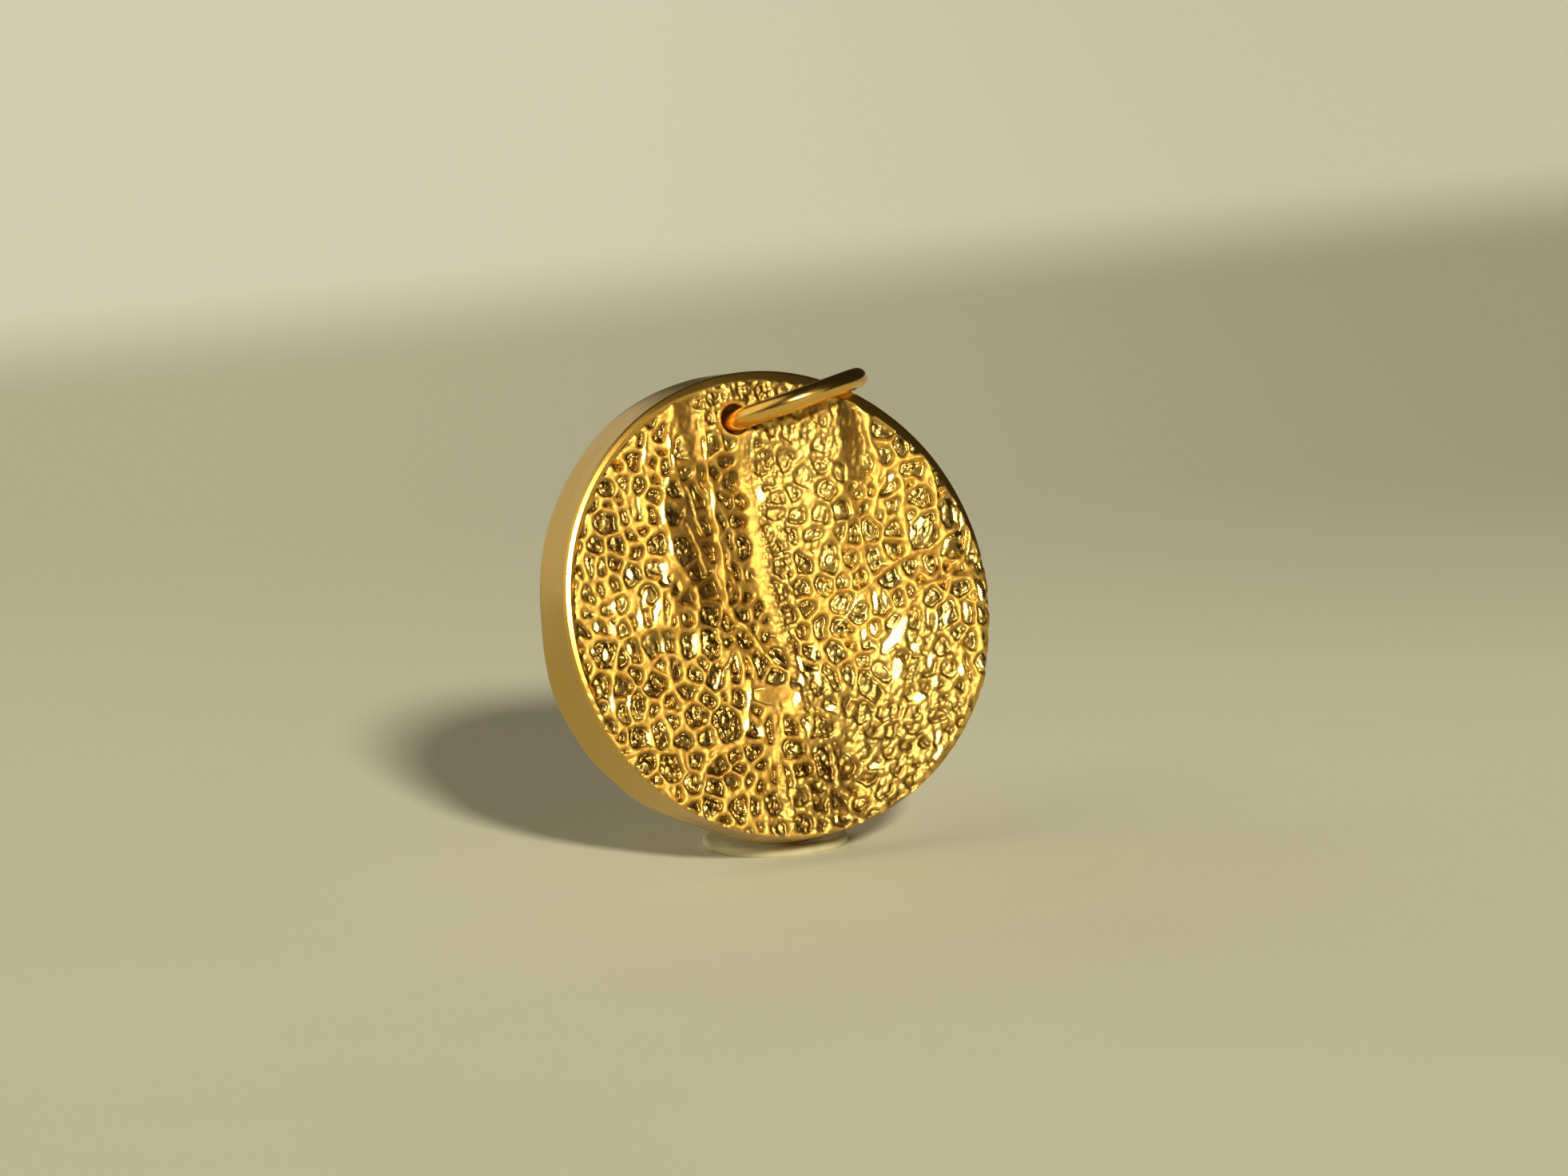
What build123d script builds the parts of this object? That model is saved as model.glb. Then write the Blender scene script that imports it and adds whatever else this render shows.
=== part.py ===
from build123d import *
import os
import numpy as np
from scipy.spatial import Delaunay, Voronoi, cKDTree

os.makedirs("parts", exist_ok=True)

# Round pendant cast from a leaf, standing on edge on a small round pad and leaning back,
# with a plain round-wire jump ring through its hole, tipped over onto the rim.
# Millimetres, +Z up, the leaf face looks toward -Y. The origin is the centre of the pad's underside.

# pendant
disc_radius = 10.0
disc_thickness = 2.5
front_bevel = 0.45
back_bevel = 0.2
back_flare = 0.4
lean_angle = 14.5
rim_steps = 96

# hole for the jump ring
hole_offset = 8.04
hole_turn = 5.6
hole_play = 0.05
hole_collar = 0.28
hole_steps = 20

# jump ring
ring_mean_radius = 3.26
wire_radius = 0.46
ring_sag = 0.07
ring_rest_gap = 0.06

# stand pad
pad_radius = 3.15
pad_thickness = 0.44
pad_edge = 0.12
pad_gap = 0.03
pad_side_shift = 0.5
pad_back_shift = 2.65

# leaf relief
cell_pitch = 0.88
cell_jitter = 0.26
cell_floor_share = 0.55
long_edge_share = 0.4
ridge_rise = 0.07
floor_drop = 0.1
vein_spacing = 0.42
point_gap = 0.15

# Rim finish at angles counted counterclockwise from the right, seen from the front.
# bevel is a share of front_bevel, flare a share of back_flare.
rim_columns = ("angle", "bevel", "flare")
rim_table = np.array([
    (0, 0.35, 0.20),
    (30, 0.90, 0.30),
    (60, 1.00, 0.40),
    (90, 0.90, 0.50),
    (120, 0.40, 0.70),
    (150, 0.55, 0.50),
    (175, 0.60, 0.25),
    (200, 0.35, 1.00),
    (222, 0.20, 0.55),
    (246, 0.20, -0.30),
    (270, 0.20, 0.35),
    (300, 0.25, 0.40),
    (330, 0.30, 0.25),
])

# Main veins, each a curve that starts at from, bends toward via and ends at to.
# All columns are shares of disc_radius.
vein_columns = ("from_x", "from_y", "via_x", "via_y", "to_x", "to_y", "width", "height")
vein_table = {
    "midrib_top": (-0.05, 0.98, -0.05, 0.45, -0.02, 0.00, 0.060, 0.016),
    "midrib_middle": (-0.02, 0.00, 0.02, -0.20, 0.00, -0.34, 0.048, 0.012),
    "midrib_foot": (-0.05, -0.40, -0.05, -0.70, -0.04, -0.97, 0.052, 0.014),
    "left_rib_top": (-0.20, 0.82, -0.24, 0.50, -0.22, 0.25, 0.024, 0.012),
    "left_rib_foot": (-0.22, 0.25, -0.23, -0.02, -0.03, -0.28, 0.024, 0.011),
    "outer_left_rib": (-0.38, 0.55, -0.33, 0.40, -0.30, 0.28, 0.020, 0.010),
    "left_branch": (-0.20, -0.17, -0.40, -0.16, -0.72, 0.00, 0.030, 0.012),
    "low_left_branch": (-0.76, -0.56, -0.50, -0.60, -0.24, -0.56, 0.026, 0.010),
    "low_left_rib": (-0.17, -0.36, -0.20, -0.50, -0.19, -0.70, 0.022, 0.010),
    "right_branch": (0.42, 0.05, 0.60, 0.18, 0.82, 0.22, 0.028, 0.012),
    "right_twig": (0.57, -0.08, 0.72, 0.02, 0.90, 0.20, 0.028, 0.011),
    "top_right_rib": (0.50, 0.86, 0.53, 0.62, 0.60, 0.55, 0.028, 0.016),
    "top_right_bend": (0.60, 0.55, 0.68, 0.53, 0.77, 0.62, 0.024, 0.012),
    "top_right_arc": (0.36, 0.74, 0.37, 0.62, 0.28, 0.52, 0.022, 0.010),
    "low_right_branch": (0.02, -0.08, 0.15, -0.28, 0.42, -0.40, 0.022, 0.010),
    "low_right_rib": (0.43, -0.40, 0.50, -0.20, 0.57, -0.08, 0.030, 0.012),
}

# Broad swells and hollows of the leaf: centre, reach and lift as shares of disc_radius.
swell_columns = ("x", "y", "reach_x", "reach_y", "lift")
swell_table = {
    "valley_beside_midrib": (-0.31, 0.25, 0.10, 0.33, -0.018),
    "top_left_dip": (-0.33, 0.84, 0.06, 0.12, -0.012),
    "top_right_dip": (0.44, 0.66, 0.06, 0.16, -0.018),
    "right_of_midrib": (0.20, 0.28, 0.22, 0.45, 0.008),
    "left_blisters": (-0.62, 0.04, 0.12, 0.07, 0.015),
    "right_bulge": (0.52, -0.18, 0.08, 0.14, 0.014),
    "low_dip": (0.13, -0.68, 0.09, 0.12, -0.016),
    "low_right_dip": (0.32, -0.78, 0.12, 0.10, -0.010),
    "right_shoulder": (0.75, 0.45, 0.14, 0.12, 0.008),
    "dip_at_fork": (-0.12, -0.20, 0.09, 0.10, -0.012),
}

# Cells beside the upper midrib are drawn out along it and packed closer across it.
stretch_columns = ("centre_x", "reach_x", "lengthen", "narrow", "narrow_reach_x", "fade_low_y", "fade_high_y")
stretch_table = (-0.18, 0.20, 0.30, 0.055, 0.12, -0.45, 0.05)


def columns(names, row):
    """One row of a table as a dictionary by column name."""
    return dict(zip(names, row))


def smooth(x):
    """Eased step from 0 to 1."""
    x = np.clip(x, 0, 1)
    return x * x * (3 - 2 * x)


def hashed(i, j, k):
    """Scatter between -0.5 and 0.5 that is the same each time for the same whole numbers."""
    value = np.sin(i * 127.1 + j * 311.7 + k * 74.7) * 43758.5453
    return value - np.floor(value) - 0.5


def rim_value(name, angles):
    """Value of one rim column at the angles, eased from each row of the table to the next."""
    marks = rim_table[:, 0]
    values = rim_table[:, rim_columns.index(name)]
    angles = np.mod(angles, 360)
    row = np.searchsorted(marks, angles, side="right") - 1
    following = (row + 1) % len(marks)
    span = np.mod(marks[following] - marks[row], 360)
    share = smooth((angles - marks[row]) / span)
    return values[row] + (values[following] - values[row]) * share


# The disc's own plane: origin in the middle of the front rim, x to the right, y up the leaning face,
# z out of the leaf face.
lean = np.radians(lean_angle)
rest_height = (disc_radius + back_flare * rim_value("flare", 270.0)) * np.cos(lean)
rest_height += (disc_thickness - back_bevel) * np.sin(lean)
rest_reach = disc_radius * np.sin(lean) - (disc_thickness - back_bevel) * np.cos(lean)
disc_centre = Vector(
    -pad_side_shift,
    rest_reach - pad_back_shift,
    pad_thickness + pad_gap + rest_height,
)
disc_plane = Plane(origin=disc_centre, x_dir=(1, 0, 0), z_dir=(0, -np.cos(lean), np.sin(lean)))

# The ring's wire bends inside the hole, so the hole is wider than the wire by the bend's depth.
half_thickness = disc_thickness / 2
wire_bend = ring_mean_radius - np.sqrt(ring_mean_radius**2 - half_thickness**2)
wire_slope = np.arcsin(half_thickness / ring_mean_radius)
hole_radius = wire_radius / np.cos(wire_slope) + wire_bend / 2 + hole_play
hole_angle = np.radians(90 + hole_turn)
hole_x = hole_offset * np.cos(hole_angle)
hole_y = hole_offset * np.sin(hole_angle)


def vein_line(row):
    """Points along one vein, evenly spread."""
    vein = columns(vein_columns, row)
    start = np.array([vein["from_x"], vein["from_y"]]) * disc_radius
    bend = np.array([vein["via_x"], vein["via_y"]]) * disc_radius
    end = np.array([vein["to_x"], vein["to_y"]]) * disc_radius
    count = int(np.ceil(np.linalg.norm(end - start) / vein_spacing)) + 1
    t = np.linspace(0, 1, count)[:, None]
    return (1 - t) ** 2 * start + 2 * t * (1 - t) * bend + t**2 * end


def distance_to_line(points, line):
    """Shortest distance from each point to a line of short straight runs."""
    start = line[:-1]
    run = line[1:] - start
    offset = points[:, None, :] - start[None, :, :]
    share = (offset * run).sum(2) / (run * run).sum(1)
    near = offset - np.clip(share, 0, 1)[:, :, None] * run[None, :, :]
    return np.sqrt((near**2).sum(2)).min(1)


def leaf_height(points):
    """Height of the veins and of the broad swells over the front rim, flattened around the hole."""
    height = np.zeros(len(points))
    for row in swell_table.values():
        swell = columns(swell_columns, row)
        across = (points[:, 0] / disc_radius - swell["x"]) / swell["reach_x"]
        along = (points[:, 1] / disc_radius - swell["y"]) / swell["reach_y"]
        height += swell["lift"] * disc_radius * np.exp(-(across**2) - along**2)
    for row in vein_table.values():
        vein = columns(vein_columns, row)
        away = distance_to_line(points, vein_line(row)) / (vein["width"] * disc_radius)
        height += vein["height"] * disc_radius * (1 - smooth(away))
    from_hole = np.hypot(points[:, 0] - hole_x, points[:, 1] - hole_y)
    return height * smooth((from_hole - hole_radius) / hole_collar)


def cell_seeds():
    """Centres of the leaf cells: a shaken triangular grid, drawn out beside the midrib."""
    stretch = columns(stretch_columns, stretch_table)
    rows = int(np.ceil(disc_radius / cell_pitch)) + 3
    j, i = np.mgrid[-rows : rows + 1, -rows : rows + 1]
    x = (i + 0.5 * (j % 2) + cell_jitter * hashed(i, j, 1) * 2) * cell_pitch / disc_radius
    y = (j * np.sqrt(0.75) + cell_jitter * hashed(i, j, 2) * 2) * cell_pitch / disc_radius
    fade = (y - stretch["fade_low_y"]) / (stretch["fade_high_y"] - stretch["fade_low_y"])
    pull = smooth(fade)
    beside = x - stretch["centre_x"]
    y = y * (1 + stretch["lengthen"] * pull * np.exp(-((beside / stretch["reach_x"]) ** 2)))
    x = x - stretch["narrow"] * pull * np.tanh(beside / stretch["narrow_reach_x"])
    seeds = np.stack([x.ravel(), y.ravel()], 1) * disc_radius
    return seeds[np.hypot(seeds[:, 0], seeds[:, 1]) < disc_radius + 1.5 * cell_pitch]


def vein_points():
    """A crest and two flanks along each vein."""
    sets = []
    for row in vein_table.values():
        line = vein_line(row)
        width = columns(vein_columns, row)["width"] * disc_radius
        run = np.gradient(line, axis=0)
        side = np.stack([-run[:, 1], run[:, 0]], 1) / np.hypot(run[:, 0], run[:, 1])[:, None]
        sets.append(line)
        sets.append(line + side * width)
        sets.append(line - side * width)
    return np.concatenate(sets)


def cell_points():
    """Cell corners, the middles of the long cell edges, a ring on each floor, and its middle."""
    seeds = cell_seeds()
    net = Voronoi(seeds)
    corners = net.vertices
    middles = []
    for a, b in net.ridge_vertices:
        if a >= 0 and np.linalg.norm(corners[a] - corners[b]) > long_edge_share * cell_pitch:
            middles.append((corners[a] + corners[b]) / 2)
    floors = []
    for seed, region in zip(seeds, net.point_region):
        around = net.regions[region]
        if around and min(around) >= 0:
            floors.append(seed + cell_floor_share * (corners[around] - seed))
    return np.concatenate([corners, middles]), np.concatenate(floors), seeds


def clear_of_veins(points):
    """True for each point that no vein covers."""
    clear = np.ones(len(points), bool)
    for row in vein_table.values():
        width = columns(vein_columns, row)["width"] * disc_radius
        clear &= distance_to_line(points, vein_line(row)) > width + point_gap
    return clear


def inside_relief(points):
    """True for each point between the front bevel and the collar of the hole."""
    radius = np.hypot(points[:, 0], points[:, 1])
    angle = np.degrees(np.arctan2(points[:, 1], points[:, 0]))
    bevel = front_bevel * rim_value("bevel", angle)
    from_hole = np.hypot(points[:, 0] - hole_x, points[:, 1] - hole_y)
    return (radius < disc_radius - bevel - point_gap) & (from_hole > hole_radius + hole_collar + point_gap)


def ring_of(radius, angles, x=0.0, y=0.0):
    """Points of a circle about x, y."""
    turn = np.radians(angles)
    return np.stack([x + radius * np.cos(turn), y + radius * np.sin(turn)], 1)


def leaf_face():
    """Points (x, y, height) of the front, with its triangles. The rim comes first, then the hole."""
    rim_angles = np.arange(rim_steps) * 360 / rim_steps
    hole_angles = np.arange(hole_steps) * 360 / hole_steps
    bevel = front_bevel * rim_value("bevel", rim_angles)
    rim = ring_of(disc_radius, rim_angles)
    bevel_top = ring_of(disc_radius - bevel, rim_angles)
    hole = ring_of(hole_radius / np.cos(np.pi / hole_steps), hole_angles, hole_x, hole_y)
    collar = ring_of(hole_radius + hole_collar, hole_angles, hole_x, hole_y)

    ridges, floors, middles = cell_points()
    veins = vein_points()
    groups = [
        (veins, 0.0, inside_relief(veins)),
        (ridges, ridge_rise, inside_relief(ridges) & clear_of_veins(ridges)),
        (floors, -floor_drop, inside_relief(floors) & clear_of_veins(floors)),
        (middles, -floor_drop / 2, inside_relief(middles) & clear_of_veins(middles)),
    ]
    chosen = np.concatenate([bevel_top, collar] + [points[keep] for points, lift, keep in groups])
    lifts = [np.zeros(rim_steps + hole_steps)]
    lifts += [np.full(keep.sum(), lift) for points, lift, keep in groups]
    lifts = np.concatenate(lifts)

    # of two points closer than point_gap the later one is dropped
    pairs = cKDTree(chosen).query_pairs(point_gap)
    dropped = {max(pair) for pair in pairs if max(pair) >= rim_steps + hole_steps}
    kept = np.array([n for n in range(len(chosen)) if n not in dropped])
    flat = np.concatenate([rim, hole, chosen[kept]])
    height = np.concatenate([-bevel / 2, leaf_height(hole), leaf_height(chosen[kept]) + lifts[kept]])

    triangles = Delaunay(flat).simplices
    bore = (triangles >= rim_steps) & (triangles < rim_steps + hole_steps)
    triangles = triangles[~bore.all(1)]
    a, b, c = (flat[triangles[:, n]] for n in range(3))
    turn = (b[:, 0] - a[:, 0]) * (c[:, 1] - a[:, 1]) - (b[:, 1] - a[:, 1]) * (c[:, 0] - a[:, 0])
    triangles[turn < 0] = triangles[turn < 0][:, ::-1]
    return np.column_stack([flat, height]), triangles


def in_space(points):
    """Points of the disc's own plane as vectors of the model."""
    return [disc_plane.from_local_coords(Vector(*[float(value) for value in point])) for point in points]


def band(upper, lower):
    """Triangles between two rings of as many points."""
    faces = []
    for n in range(len(upper)):
        after = (n + 1) % len(upper)
        faces.append(Face(Wire.make_polygon([upper[n], lower[n], lower[after]])))
        faces.append(Face(Wire.make_polygon([upper[n], lower[after], upper[after]])))
    return faces


def disc_shell():
    """All faces of the pendant: leaf face, side wall, back and the wall of the hole."""
    points, triangles = leaf_face()
    front = in_space(points)
    rim = front[:rim_steps]
    hole = front[rim_steps : rim_steps + hole_steps]
    angles = np.arange(rim_steps) * 360 / rim_steps
    back_radius = disc_radius + back_flare * rim_value("flare", angles)
    wall_foot = ring_of(back_radius, angles)
    back_edge = ring_of(back_radius - back_bevel, angles)
    hole_back = points[rim_steps : rim_steps + hole_steps, :2]
    wall_foot = in_space(np.column_stack([wall_foot, np.full(rim_steps, back_bevel - disc_thickness)]))
    back_edge = in_space(np.column_stack([back_edge, np.full(rim_steps, -disc_thickness)]))
    hole_back = in_space(np.column_stack([hole_back, np.full(hole_steps, -disc_thickness)]))

    faces = [Face(Wire.make_polygon([front[n] for n in triangle])) for triangle in triangles]
    faces += band(rim, wall_foot)
    faces += band(wall_foot, back_edge)
    faces += band(hole_back, hole)
    faces.append(Face(Wire.make_polygon(back_edge), [Wire.make_polygon(hole_back)]))
    return Shell(faces)


# The tipped ring rests where its wire meets the widest part of the back rim, to the right of the hole.
rest_at = 60.0
ring_offset = ring_mean_radius - wire_bend / 2
rest_depth = half_thickness - back_bevel
wire_reach = ring_offset + np.sqrt(ring_mean_radius**2 - rest_depth**2)
wire_half_width = wire_radius / np.cos(np.arcsin(rest_depth / ring_mean_radius))
rest_rim = disc_radius + back_flare * rim_value("flare", rest_at) + wire_half_width + ring_rest_gap
rest_swing = np.arccos((rest_rim**2 - hole_offset**2 - wire_reach**2) / (2 * hole_offset * wire_reach))
ring_angle = hole_angle - rest_swing
along = Vector(np.cos(ring_angle), np.sin(ring_angle), 0)
across = Vector(-np.sin(ring_angle), np.cos(ring_angle), 0)
ring_centre_local = Vector(hole_x, hole_y, -half_thickness) + along * ring_offset - across * ring_sag
ring_centre = disc_plane.from_local_coords(ring_centre_local)
ring_along = disc_plane.from_local_coords(ring_centre_local + along) - ring_centre
ring_axis = disc_plane.from_local_coords(ring_centre_local + across) - ring_centre

with BuildPart() as pendant_disc:
    add(Solid(disc_shell()))
pendant_disc.part.label = "pendant_disc"

with BuildPart() as jump_ring:
    with BuildSketch(Plane(origin=ring_centre, x_dir=ring_along, z_dir=ring_along.cross(ring_axis))):
        with Locations((ring_mean_radius, 0)):
            Circle(wire_radius)
    revolve(axis=Axis(ring_centre, ring_axis))
jump_ring.part.label = "jump_ring"

with BuildPart() as stand_pad:
    with BuildSketch():
        Circle(pad_radius)
    extrude(amount=pad_thickness)
    fillet(stand_pad.edges().group_by(Axis.Z)[-1], pad_edge)
stand_pad.part.label = "stand_pad"

for piece in (pendant_disc, jump_ring, stand_pad):
    export_step(piece.part, f"parts/{piece.part.label}.step")
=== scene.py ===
import math

import bpy
import numpy as np
from mathutils import Matrix, Vector
from mathutils.geometry import delaunay_2d_cdt


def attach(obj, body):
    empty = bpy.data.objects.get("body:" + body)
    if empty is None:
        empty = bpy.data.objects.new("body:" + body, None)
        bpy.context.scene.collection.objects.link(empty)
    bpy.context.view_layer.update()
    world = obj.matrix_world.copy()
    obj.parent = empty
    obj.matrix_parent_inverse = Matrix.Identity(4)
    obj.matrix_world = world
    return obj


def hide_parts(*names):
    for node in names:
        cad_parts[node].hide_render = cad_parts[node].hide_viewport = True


# A round gold pendant cast from a leaf, on its small stand pad, with its jump ring tipped over.
# Lengths are millimetres in the part's own frame until a mesh is made, and meshes are in metres.
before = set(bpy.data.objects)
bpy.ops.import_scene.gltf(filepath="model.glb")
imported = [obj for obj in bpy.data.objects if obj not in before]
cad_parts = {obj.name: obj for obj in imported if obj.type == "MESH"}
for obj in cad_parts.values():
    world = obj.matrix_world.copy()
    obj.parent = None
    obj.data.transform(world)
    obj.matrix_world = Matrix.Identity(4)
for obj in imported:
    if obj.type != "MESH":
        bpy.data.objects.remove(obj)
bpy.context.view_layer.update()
mm = 0.001
print("frame loaded")

photoView = {
    "azimuth": -26.7,       # degrees, the camera stands to the left of the leaf face
    "elevation": 9.0,
    "roll": -2.2,
    "distance": 300.0,
    "pixelsPerMm": 29.45,   # at the middle of the disc
    "discAt": (976.5, 754.6),
    "imageSize": (1963, 1472),
    "sensorWidth": 36.0,
}

discShape = {
    "centre": (-0.5, -2.37294, 10.8629),    # middle of the front rim
    "lean": 14.5,
    "radius": 10.0,
    "thickness": 2.5,
    "frontBevel": 0.45,
    "facetSlope": 0.31,
    "lipFall": 0.22,
    "backBevel": 0.2,
    "backFlare": 0.4,
    "holeAt": (-0.7846, 8.0016),
    "holeRadius": 0.6734,
    "holeCollar": 0.28,
}

leanAngle = math.radians(discShape["lean"])
discOrigin = np.array(discShape["centre"])
discX = np.array([1.0, 0.0, 0.0])
discY = np.array([0.0, math.sin(leanAngle), math.cos(leanAngle)])
discZ = np.array([0.0, -math.cos(leanAngle), math.sin(leanAngle)])


def direction(azimuthDegrees, elevationDegrees):
    azimuth = math.radians(azimuthDegrees)
    elevation = math.radians(elevationDegrees)
    flat = math.cos(elevation)
    return Vector((math.sin(azimuth) * flat, -math.cos(azimuth) * flat, math.sin(elevation)))


def placeCamera(view):
    azimuth = math.radians(view["azimuth"])
    roll = math.radians(view["roll"])
    back = direction(view["azimuth"], view["elevation"])
    level = Vector((math.cos(azimuth), math.sin(azimuth), 0))
    rise = back.cross(level)
    right = level * math.cos(roll) + rise * math.sin(roll)
    up = rise * math.cos(roll) - level * math.sin(roll)
    width, height = view["imageSize"]
    offRight = (view["discAt"][0] - width / 2) / view["pixelsPerMm"]
    offUp = (height / 2 - view["discAt"][1]) / view["pixelsPerMm"]
    target = Vector(discShape["centre"]) - right * offRight - up * offUp
    data = bpy.data.cameras.new("photo_camera")
    data.sensor_width = view["sensorWidth"]
    data.lens = view["pixelsPerMm"] * view["distance"] / width * view["sensorWidth"]
    data.clip_start = 0.01
    data.clip_end = 20
    camera = bpy.data.objects.new("photo_camera", data)
    bpy.context.scene.collection.objects.link(camera)
    turn = Matrix((right, up, back)).transposed().to_4x4()
    camera.matrix_world = Matrix.Translation((target + back * view["distance"]) * mm) @ turn
    bpy.context.scene.camera = camera


placeCamera(photoView)
print("camera placed")


class Wire:
    # a socket that can be used in sums
    def __init__(self, paint, socket):
        self.paint = paint
        self.socket = socket

    def sum(self, operation, first, second):
        return self.paint.node("ShaderNodeMath", {"operation": operation}, {0: first, 1: second})

    def __add__(self, other):
        return self.sum("ADD", self, other)

    def __sub__(self, other):
        return self.sum("SUBTRACT", self, other)

    def __rsub__(self, other):
        return self.sum("SUBTRACT", other, self)

    def __mul__(self, other):
        return self.sum("MULTIPLY", self, other)

    __radd__ = __add__
    __rmul__ = __mul__


class Paint:
    # a material or the world under construction
    def __init__(self, owner):
        self.owner = owner
        owner.use_nodes = True
        self.tree = owner.node_tree
        self.tree.nodes.clear()

    def node(self, kind, settings=None, values=None, output=0):
        made = self.tree.nodes.new(kind)
        for name, value in (settings or {}).items():
            setattr(made, name, value)
        for name, value in (values or {}).items():
            if isinstance(value, Wire):
                self.tree.links.new(value.socket, made.inputs[name])
            else:
                made.inputs[name].default_value = value
        return Wire(self, made.outputs[output]) if len(made.outputs) else made

    def blend(self, factor, first, second):
        return self.node("ShaderNodeMix", {"data_type": "RGBA"}, {0: factor, 6: first, 7: second}, 2)

    def place(self, stretch=(1, 1, 1)):
        # position on the piece in millimetres
        spot = self.node("ShaderNodeTexCoord", output=3)
        scale = [1000 * part for part in stretch]
        return self.node("ShaderNodeVectorMath", {"operation": "MULTIPLY"}, {0: spot, 1: scale})

    def along(self, place, axis):
        return self.node("ShaderNodeVectorMath", {"operation": "DOT_PRODUCT"}, {0: place, 1: axis}, 1)

    def ramp(self, value, start, end):
        return self.node("ShaderNodeMapRange", {"interpolation_type": "SMOOTHSTEP"}, {
            "Value": value, "From Min": start, "From Max": end})

    def noise(self, place, scale, detail=3.0, roughness=0.55):
        return self.node("ShaderNodeTexNoise", None, {
            "Vector": place, "Scale": scale, "Detail": detail, "Roughness": roughness})

    def measure(self, name):
        return self.node("ShaderNodeAttribute", {"attribute_name": name}, None, 2)

    def bump(self, height, depth, strength=1.0, normal=None):
        values = {"Height": height, "Distance": depth * mm, "Strength": strength}
        if normal is not None:
            values["Normal"] = normal
        return self.node("ShaderNodeBump", None, values)

    def shade(self, colour, roughness, normal, more):
        shader = self.node("ShaderNodeBsdfPrincipled", None, {
            "Base Color": colour, "Roughness": roughness, "Normal": normal, **more})
        self.node("ShaderNodeOutputMaterial", None, {"Surface": shader})
        return self.owner


castFinish = {
    "ridge": (0.79, 0.47, 0.095, 1),
    "drop": (1.0, 0.71, 0.20, 1),
    # painted shade: dark brown laid where the metal lies in shade, in the cells' hollows, the troughs and
    # the dark column
    "paintedShade": (0.165, 0.08, 0.016, 1),
    "wall": (0.60, 0.39, 0.105, 1),
    "dropsPerMm": 5.6,
    "dropLength": 1.6,
    "dropLean": 0.25,
    "dropHeight": 0.035,
    "cloudScale": 0.9,
    "grainScale": 11.0,
    "sandScale": 26.0,
    "grainHeight": 0.022,
    "sandHeight": 0.006,
    "ridgeRoughness": 0.54,
    "dropRoughness": 0.27,
    "polishRoughness": 0.27,
    "wallRoughness": 0.27,
}


def castGold(look):
    paint = Paint(bpy.data.materials.new("cast_gold"))
    names = ("paintedShade", "inCell", "polish", "wall", "beaded")
    paintedShade, inCell, polish, wall, beaded = (paint.measure(name) for name in names)
    place = paint.place()
    cloud = paint.noise(place, look["cloudScale"], 4)
    right = paint.along(place, (1, 0, 0))
    up = paint.along(place, (0, 0, 1))
    grid = paint.node("ShaderNodeCombineXYZ", None, {
        "X": (right - up * look["dropLean"]) * look["dropsPerMm"],
        "Y": up * (look["dropsPerMm"] / look["dropLength"])})
    drop = paint.node("ShaderNodeTexVoronoi", {"voronoi_dimensions": "2D", "feature": "SMOOTH_F1"}, {
        "Vector": grid, "Scale": 1.0, "Randomness": 0.9, "Smoothness": 0.25})
    grain = paint.noise(place, look["grainScale"], 4, 0.65)
    sand = paint.noise(place, look["sandScale"], 2, 0.6)
    # painted shade: the dark colour is laid over the gold where the mask says, made uneven by the cloud
    shadeAmount = paintedShade * (cloud * 0.6 + 0.6)
    colour = paint.blend(shadeAmount, paint.blend(inCell, look["ridge"], look["drop"]), look["paintedShade"])
    colour = paint.blend(wall, colour, look["wall"])
    rough = look["ridgeRoughness"] + inCell * (look["dropRoughness"] - look["ridgeRoughness"])
    rough = rough + (grain - 0.5) * 0.16
    rough = rough * (1 - wall) + wall * (look["wallRoughness"] + (cloud - 0.5) * 0.12)
    rough = rough * (1 - polish) + polish * look["polishRoughness"]
    coarse = paint.bump(grain, look["grainHeight"], (1 - polish) * (1 - wall * 0.8) * 0.55)
    beads = paint.bump(drop * -1, look["dropHeight"], beaded, coarse)
    normal = paint.bump(sand, look["sandHeight"], 0.5, beads)
    return paint.shade(colour, rough, normal, {"Metallic": 1.0})


ringFinish = {
    "gold": (0.93, 0.59, 0.15, 1),
    "worn": (0.80, 0.46, 0.10, 1),
    "roughness": 0.20,
    "cloudScale": 0.8,
    "cloudHeight": 0.05,
    "scratchStretch": (1.0, 6.0, 3.0),
    "scratchScale": 4.0,
    "scratchHeight": 0.005,
}


def polishedGold(look):
    paint = Paint(bpy.data.materials.new("polished_gold"))
    cloud = paint.noise(paint.place(), look["cloudScale"], 3)
    scratch = paint.noise(paint.place(look["scratchStretch"]), look["scratchScale"], 3)
    colour = paint.blend(cloud, look["gold"], look["worn"])
    rough = look["roughness"] + (cloud - 0.5) * 0.10 + (scratch - 0.5) * 0.06
    wavy = paint.bump(cloud, look["cloudHeight"], 0.35)
    normal = paint.bump(scratch, look["scratchHeight"], 0.5, wavy)
    return paint.shade(colour, rough, normal, {"Metallic": 1.0})


padFinish = {
    "pale": (0.69, 0.63, 0.39, 1),
    "shade": (0.54, 0.50, 0.31, 1),
    "cloudScale": 1.2,
    "cloudHeight": 0.12,
    "grainScale": 14.0,
    "grainHeight": 0.02,
}


def softPad(look):
    paint = Paint(bpy.data.materials.new("soft_pad"))
    place = paint.place()
    cloud = paint.noise(place, look["cloudScale"], 4)
    grain = paint.noise(place, look["grainScale"], 3)
    colour = paint.blend(cloud, look["pale"], look["shade"])
    wavy = paint.bump(cloud, look["cloudHeight"], 0.4)
    normal = paint.bump(grain, look["grainHeight"], 0.5, wavy)
    return paint.shade(colour, 0.5 + cloud * 0.2, normal, {})


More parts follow.
